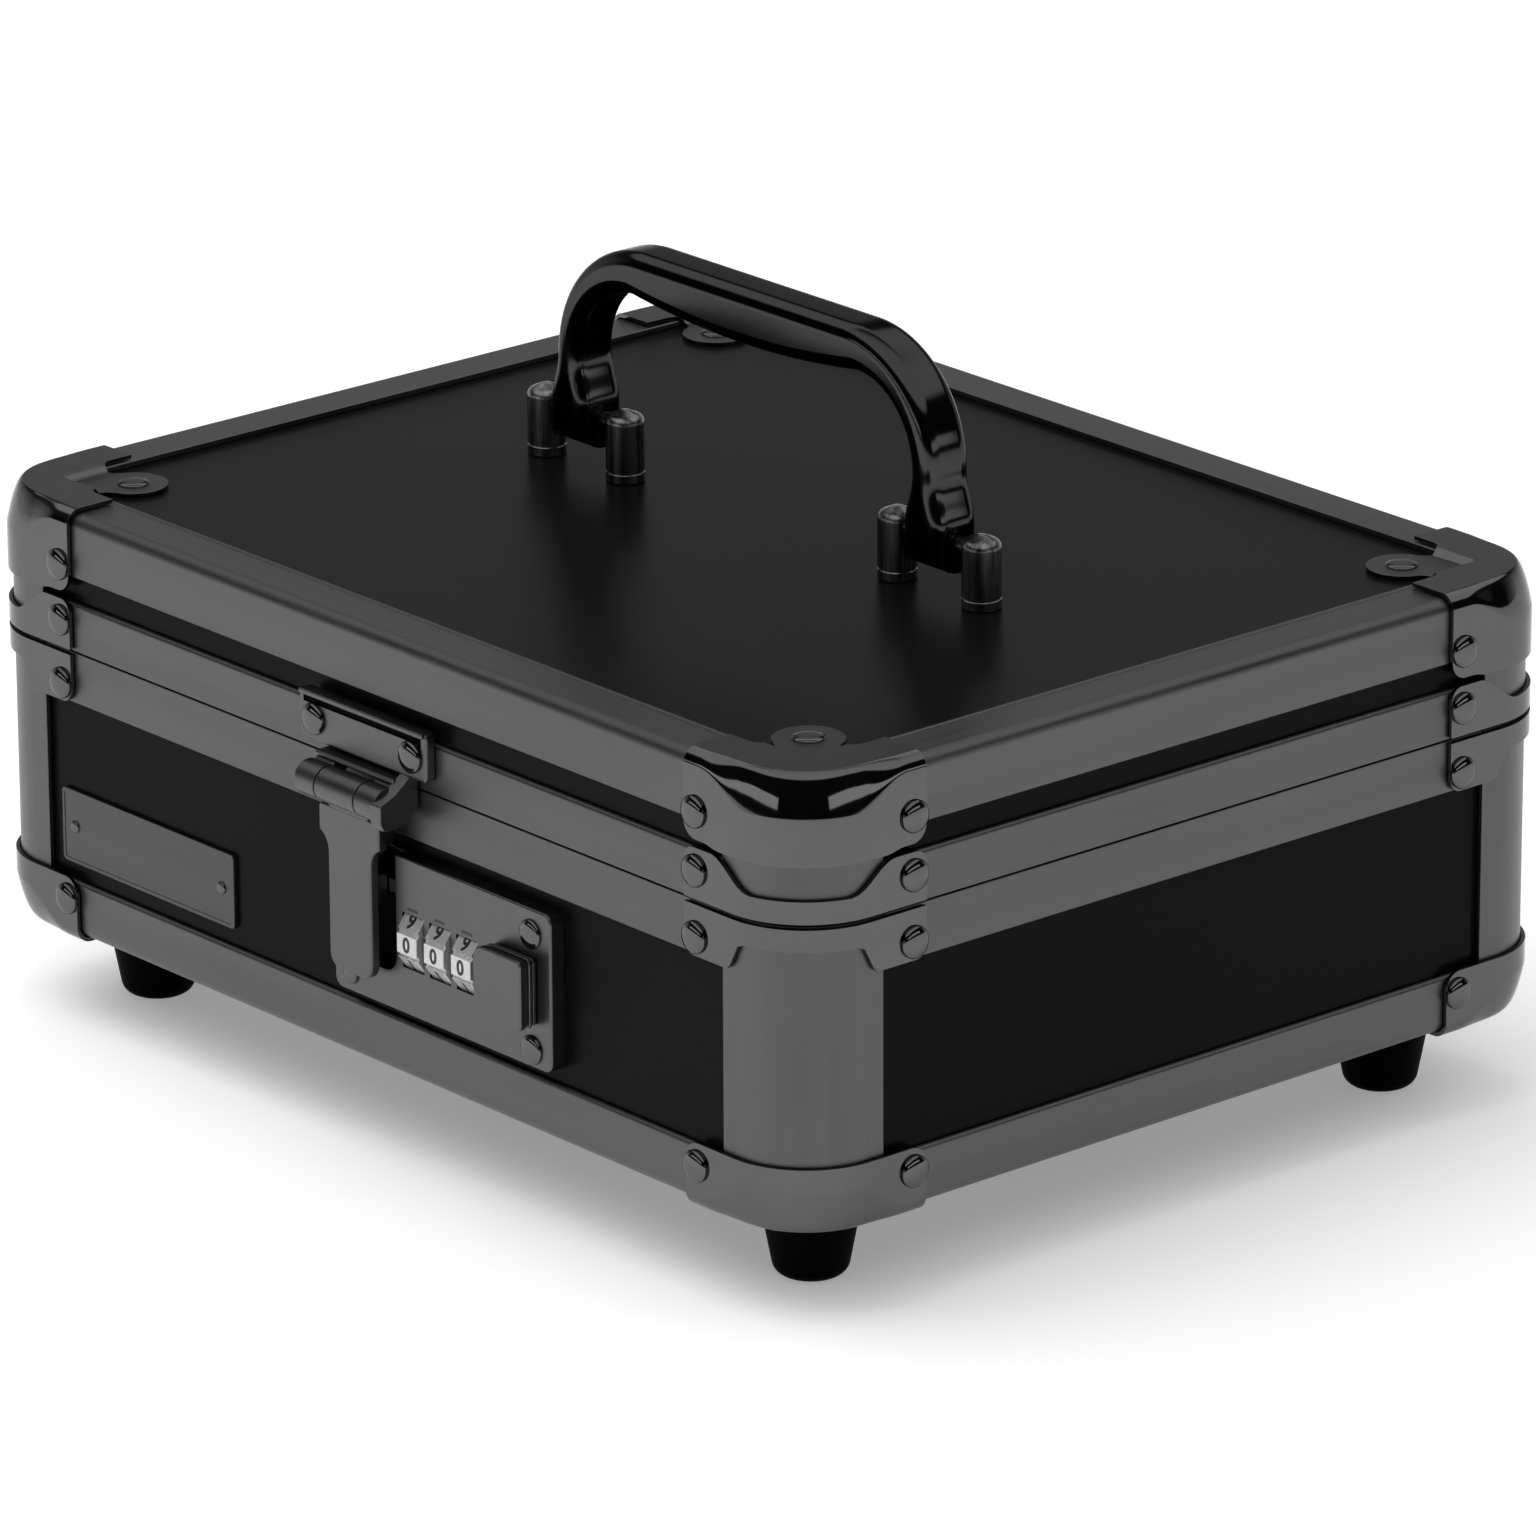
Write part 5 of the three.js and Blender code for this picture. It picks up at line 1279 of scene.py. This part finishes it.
class CASHBOX_OT_posts(bpy.types.Operator):
    """Make the four handle posts with their pins"""
    bl_idname = "cashbox.posts"
    bl_label = "Handle posts"

    def execute(self, context):
        size = settings("handle")
        radius, top, base = size.post, size.post_height, 0.05 * MM
        line, line_height, dome, shoulder = 0.25 * MM, 2.2 * MM, 2.2 * MM, size.post_height - 3 * MM
        profile = [(0, base), (radius - line, base), (radius, base + line), (radius, line_height),
                   (radius - line, line_height + line), (radius, line_height + 2 * line), (radius, shoulder),
                   *arc(radius - dome, shoulder, dome, 0, 78, 10)[1:], (1.2 * MM, top - 0.1 * MM), (0, top)]
        for side, middle in (("left", -size.leg), ("right", size.leg)):
            x0, x1 = middle - size.post_offset, middle + size.post_offset
            parts = [moved(turned(profile), Matrix.Translation((x, 0, 0))) for x in (x0, x1)]
            parts.append(cylinder_x(0, size.pivot, size.pin, x0, x1, 28))
            fine(f"handle_posts_{side}", gathered(*parts), "turned", "lid", LID_FRAME)
        return {"FINISHED"}


class CASHBOX_OT_tray(bpy.types.Operator):
    """Make the moulded coin tray with its coin cups and note wells"""
    bl_idname = "cashbox.tray"
    bl_label = "Coin tray"

    def execute(self, context):
        low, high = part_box("coin_tray")
        wall, floor, well, coin_cups, note_wells = 2 * MM, low.z + 2 * MM, 7 * MM, 5, 3
        corner, bottom_edge, top_edge = 9 * MM, 1.2 * MM, 0.45 * MM
        body = prism(rounded(low.x, high.x, low.y, high.y, corner, 10), low.z, high.z)
        soften(body, bottom_edge, 3, SQUARE, edges_below(low.z))
        divider = low.y + 78 * MM
        wells = []
        for count, y0, y1 in ((coin_cups, low.y + wall, divider - wall / 2),
                              (note_wells, divider + wall / 2, high.y - wall)):
            width = (high.x - low.x - (count + 1) * wall) / count
            for i in range(count):
                x0 = low.x + wall + i * (width + wall)
                cup = prism(rounded(x0, x0 + width, y0, y1, well, 8), floor, high.z + 2 * well)
                wells.append(soften(cup, well / 2, 5, SQUARE, edges_below(floor)))
        tray = soften(carved(body, *wells), top_edge, 2, SQUARE, edges_above(high.z))
        fine("coin_tray", tray, "tray", "tray", sharp=45)
        return {"FINISHED"}


# Studio

LAMPS = (  # azimuth and elevation in degrees, distance, width and height in metres, power in watts
    ("Left panel", -16, 8.2, 1.6, 1.92, 0.2, 1.6),
    ("Right panel", 106, 9.2, 1.6, 1.77, 0.22, 1.62),
    ("Top soft box", -60, 66, 1.8, 2.0, 2.0, 22),
)
# Brightness of the room from straight below (0) to straight above (1), before the object and behind it
ROOM_BEFORE = ((0.0, 0.012), (0.56, 0.02), (0.61, 1.0), (1.0, 0.9))
ROOM_BEHIND = ((0.0, 0.8), (0.1, 0.62), (0.25, 0.4), (0.35, 0.32), (0.42, 0.1), (0.56, 0.06), (0.61, 1.0),
               (0.76, 1.0), (0.82, 0.1), (1.0, 0.07))
AWAY = (-0.757, 0.653, 0)  # level direction from the camera to the object


def direction(azimuth, elevation):
    """Towards a place round the object, in degrees from its front and above its level."""
    turn, rise = math.radians(azimuth), math.radians(elevation)
    return Vector((math.sin(turn) * math.cos(rise), -math.cos(turn) * math.cos(rise), math.sin(rise)))


def make_camera():
    """The camera stands where the photograph was taken from."""
    azimuth, elevation, roll = 49.203, 19.49, math.radians(-0.24)
    unit = 1.0166 * MM  # one unit of the camera that was fitted to the photograph
    distance, aside, down, middle = 2352.69 * unit, 1.66 * unit, -7.052 * unit, 50 * unit
    sensor, focal_pixels, image_pixels = 36, 10593.9, 1536
    target = Vector((0, MIDDLE_Y, middle + RAILS_LOW))
    back = direction(azimuth, elevation)
    flat_right = Vector((math.cos(math.radians(azimuth)), math.sin(math.radians(azimuth)), 0))
    flat_up = back.cross(flat_right)
    right = math.cos(roll) * flat_right + math.sin(roll) * flat_up
    up = -math.sin(roll) * flat_right + math.cos(roll) * flat_up
    camera = placed("Camera", bpy.data.cameras.new("Camera"))
    camera.data.sensor_width = sensor
    camera.data.lens = focal_pixels / image_pixels * sensor
    turn = Matrix((right, up, back)).transposed().to_4x4()
    camera.matrix_world = Matrix.Translation(target + back * distance + right * aside + up * down) @ turn
    bpy.context.scene.camera = camera


def make_floor():
    """A large pale floor that looks white to the camera and in reflections, and keeps the shadow."""
    lift = 0.29
    shape = bmesh.new()
    bmesh.ops.create_grid(shape, x_segments=1, y_segments=1, size=6)
    floor = placed("Floor", mesh_of("Floor", shape))
    material = bpy.data.materials.new("Pale floor")
    material.use_nodes = True
    tree = material.node_tree
    rays = add_node(tree, "LightPath", {}).outputs
    seen = maths(tree, "MAXIMUM", rays["Is Camera Ray"], rays["Is Glossy Ray"])
    seen = maths(tree, "MAXIMUM", seen, rays["Is Transmission Ray"])
    for label, value in (
            ("Base Color", (*settings("finishes").floor, 1)), ("Roughness", 0.9), ("Specular IOR Level", 0.0),
            ("Emission Color", (1, 1, 1, 1)), ("Emission Strength", maths(tree, "MULTIPLY", seen, lift))):
        join(tree, value, tree.nodes["Principled BSDF"].inputs[label])
    floor.data.materials.append(material)


def make_lamps():
    """Two low panels beside the camera, which show in the metal, and a soft box above, which doesn't."""
    target = Vector((RIGHT, FRONT, BOARD_TOP))
    for name, azimuth, elevation, distance, width, height, power in LAMPS:
        out = direction(azimuth, elevation)
        lamp = bpy.data.lights.new(name, "AREA")
        lamp.shape = "RECTANGLE"
        lamp.size, lamp.size_y = width, height
        lamp.energy = power
        thing = placed(name, lamp)
        thing.location = target + out * distance
        thing.rotation_euler = out.to_track_quat("Z", "Y").to_euler()
        thing.visible_glossy = name != "Top soft box"
        thing.visible_camera = False


def make_room():
    """A room that is dark before the object and pale behind it, with a pale band all round."""
    world = bpy.data.worlds.new("Studio")
    world.use_nodes = True
    bpy.context.scene.world = world
    tree = world.node_tree
    view = add_node(tree, "TexCoord", {}).outputs["Generated"]
    level = add_node(tree, "SeparateXYZ", {0: view}).outputs["Z"]
    tones = []
    for levels in (ROOM_BEFORE, ROOM_BEHIND):
        ramp = add_node(tree, "ValToRGB", {"Fac": level})
        stops = ramp.color_ramp.elements
        for stop, (_, value) in zip((stops[0], stops[1]), (levels[0], levels[-1])):
            stop.color = (value, value, value, 1)
        for position, value in levels[1:-1]:
            stops.new(position).color = (value, value, value, 1)
        tones.append(ramp.outputs["Color"])
    behind = add_node(tree, "VectorMath", {0: view, 1: AWAY}, operation="DOT_PRODUCT").outputs["Value"]
    share = remap(tree, behind, 0.0, 1.0, 0.2, 0.5)
    mix = add_node(tree, "Mix", {"Factor": share, "A": tones[0], "B": tones[1]}, data_type="RGBA")
    backdrop = tree.nodes["Background"].inputs
    join(tree, mix.outputs["Result"], backdrop["Color"])
    backdrop["Strength"].default_value = 1


class CASHBOX_OT_stage(bpy.types.Operator):
    """Set up the camera, the pale floor and the soft lights"""
    bl_idname = "cashbox.stage"
    bl_label = "Studio"

    def execute(self, context):
        for make in (make_camera, make_floor, make_lamps, make_room):
            make()
        return {"FINISHED"}


STEPS = (
    CASHBOX_OT_rails, CASHBOX_OT_corners, CASHBOX_OT_boards, CASHBOX_OT_feet, CASHBOX_OT_name_plate,
    CASHBOX_OT_lock_plate, CASHBOX_OT_dials, CASHBOX_OT_button, CASHBOX_OT_hasp_plate, CASHBOX_OT_hasp_arm,
    CASHBOX_OT_hinges, CASHBOX_OT_handle, CASHBOX_OT_posts, CASHBOX_OT_tray, CASHBOX_OT_stage,
)


class CASHBOX_PT_panel(bpy.types.Panel):
    """Lists the steps that build the cash box"""
    bl_idname = "CASHBOX_PT_panel"
    bl_label = "Cash box"
    bl_space_type = "VIEW_3D"
    bl_region_type = "UI"
    bl_category = "Cash box"

    def draw(self, context):
        for step in STEPS:
            self.layout.operator(step.bl_idname, text=step.bl_label)


GROUPS = {
    "cash_box_shell": ShellSizes, "cash_box_corners": CornerSizes, "cash_box_lock": LockSizes,
    "cash_box_hasp": HaspSizes, "cash_box_handle": HandleSizes, "cash_box_finishes": Finishes,
}


def register():
    for owner in (*GROUPS.values(), *STEPS, CASHBOX_PT_panel):
        bpy.utils.register_class(owner)
    for name, owner in GROUPS.items():
        setattr(bpy.types.Scene, name, bpy.props.PointerProperty(type=owner))


def unregister():
    for name in GROUPS:
        delattr(bpy.types.Scene, name)
    for owner in reversed((*GROUPS.values(), *STEPS, CASHBOX_PT_panel)):
        bpy.utils.unregister_class(owner)


def main():
    register()
    bpy.context.scene.view_settings.view_transform = "Standard"
    make_materials()
    for step in STEPS:
        getattr(bpy.ops.cashbox, step.bl_idname.split(".")[1])()


if __name__ == "__main__":
    main()
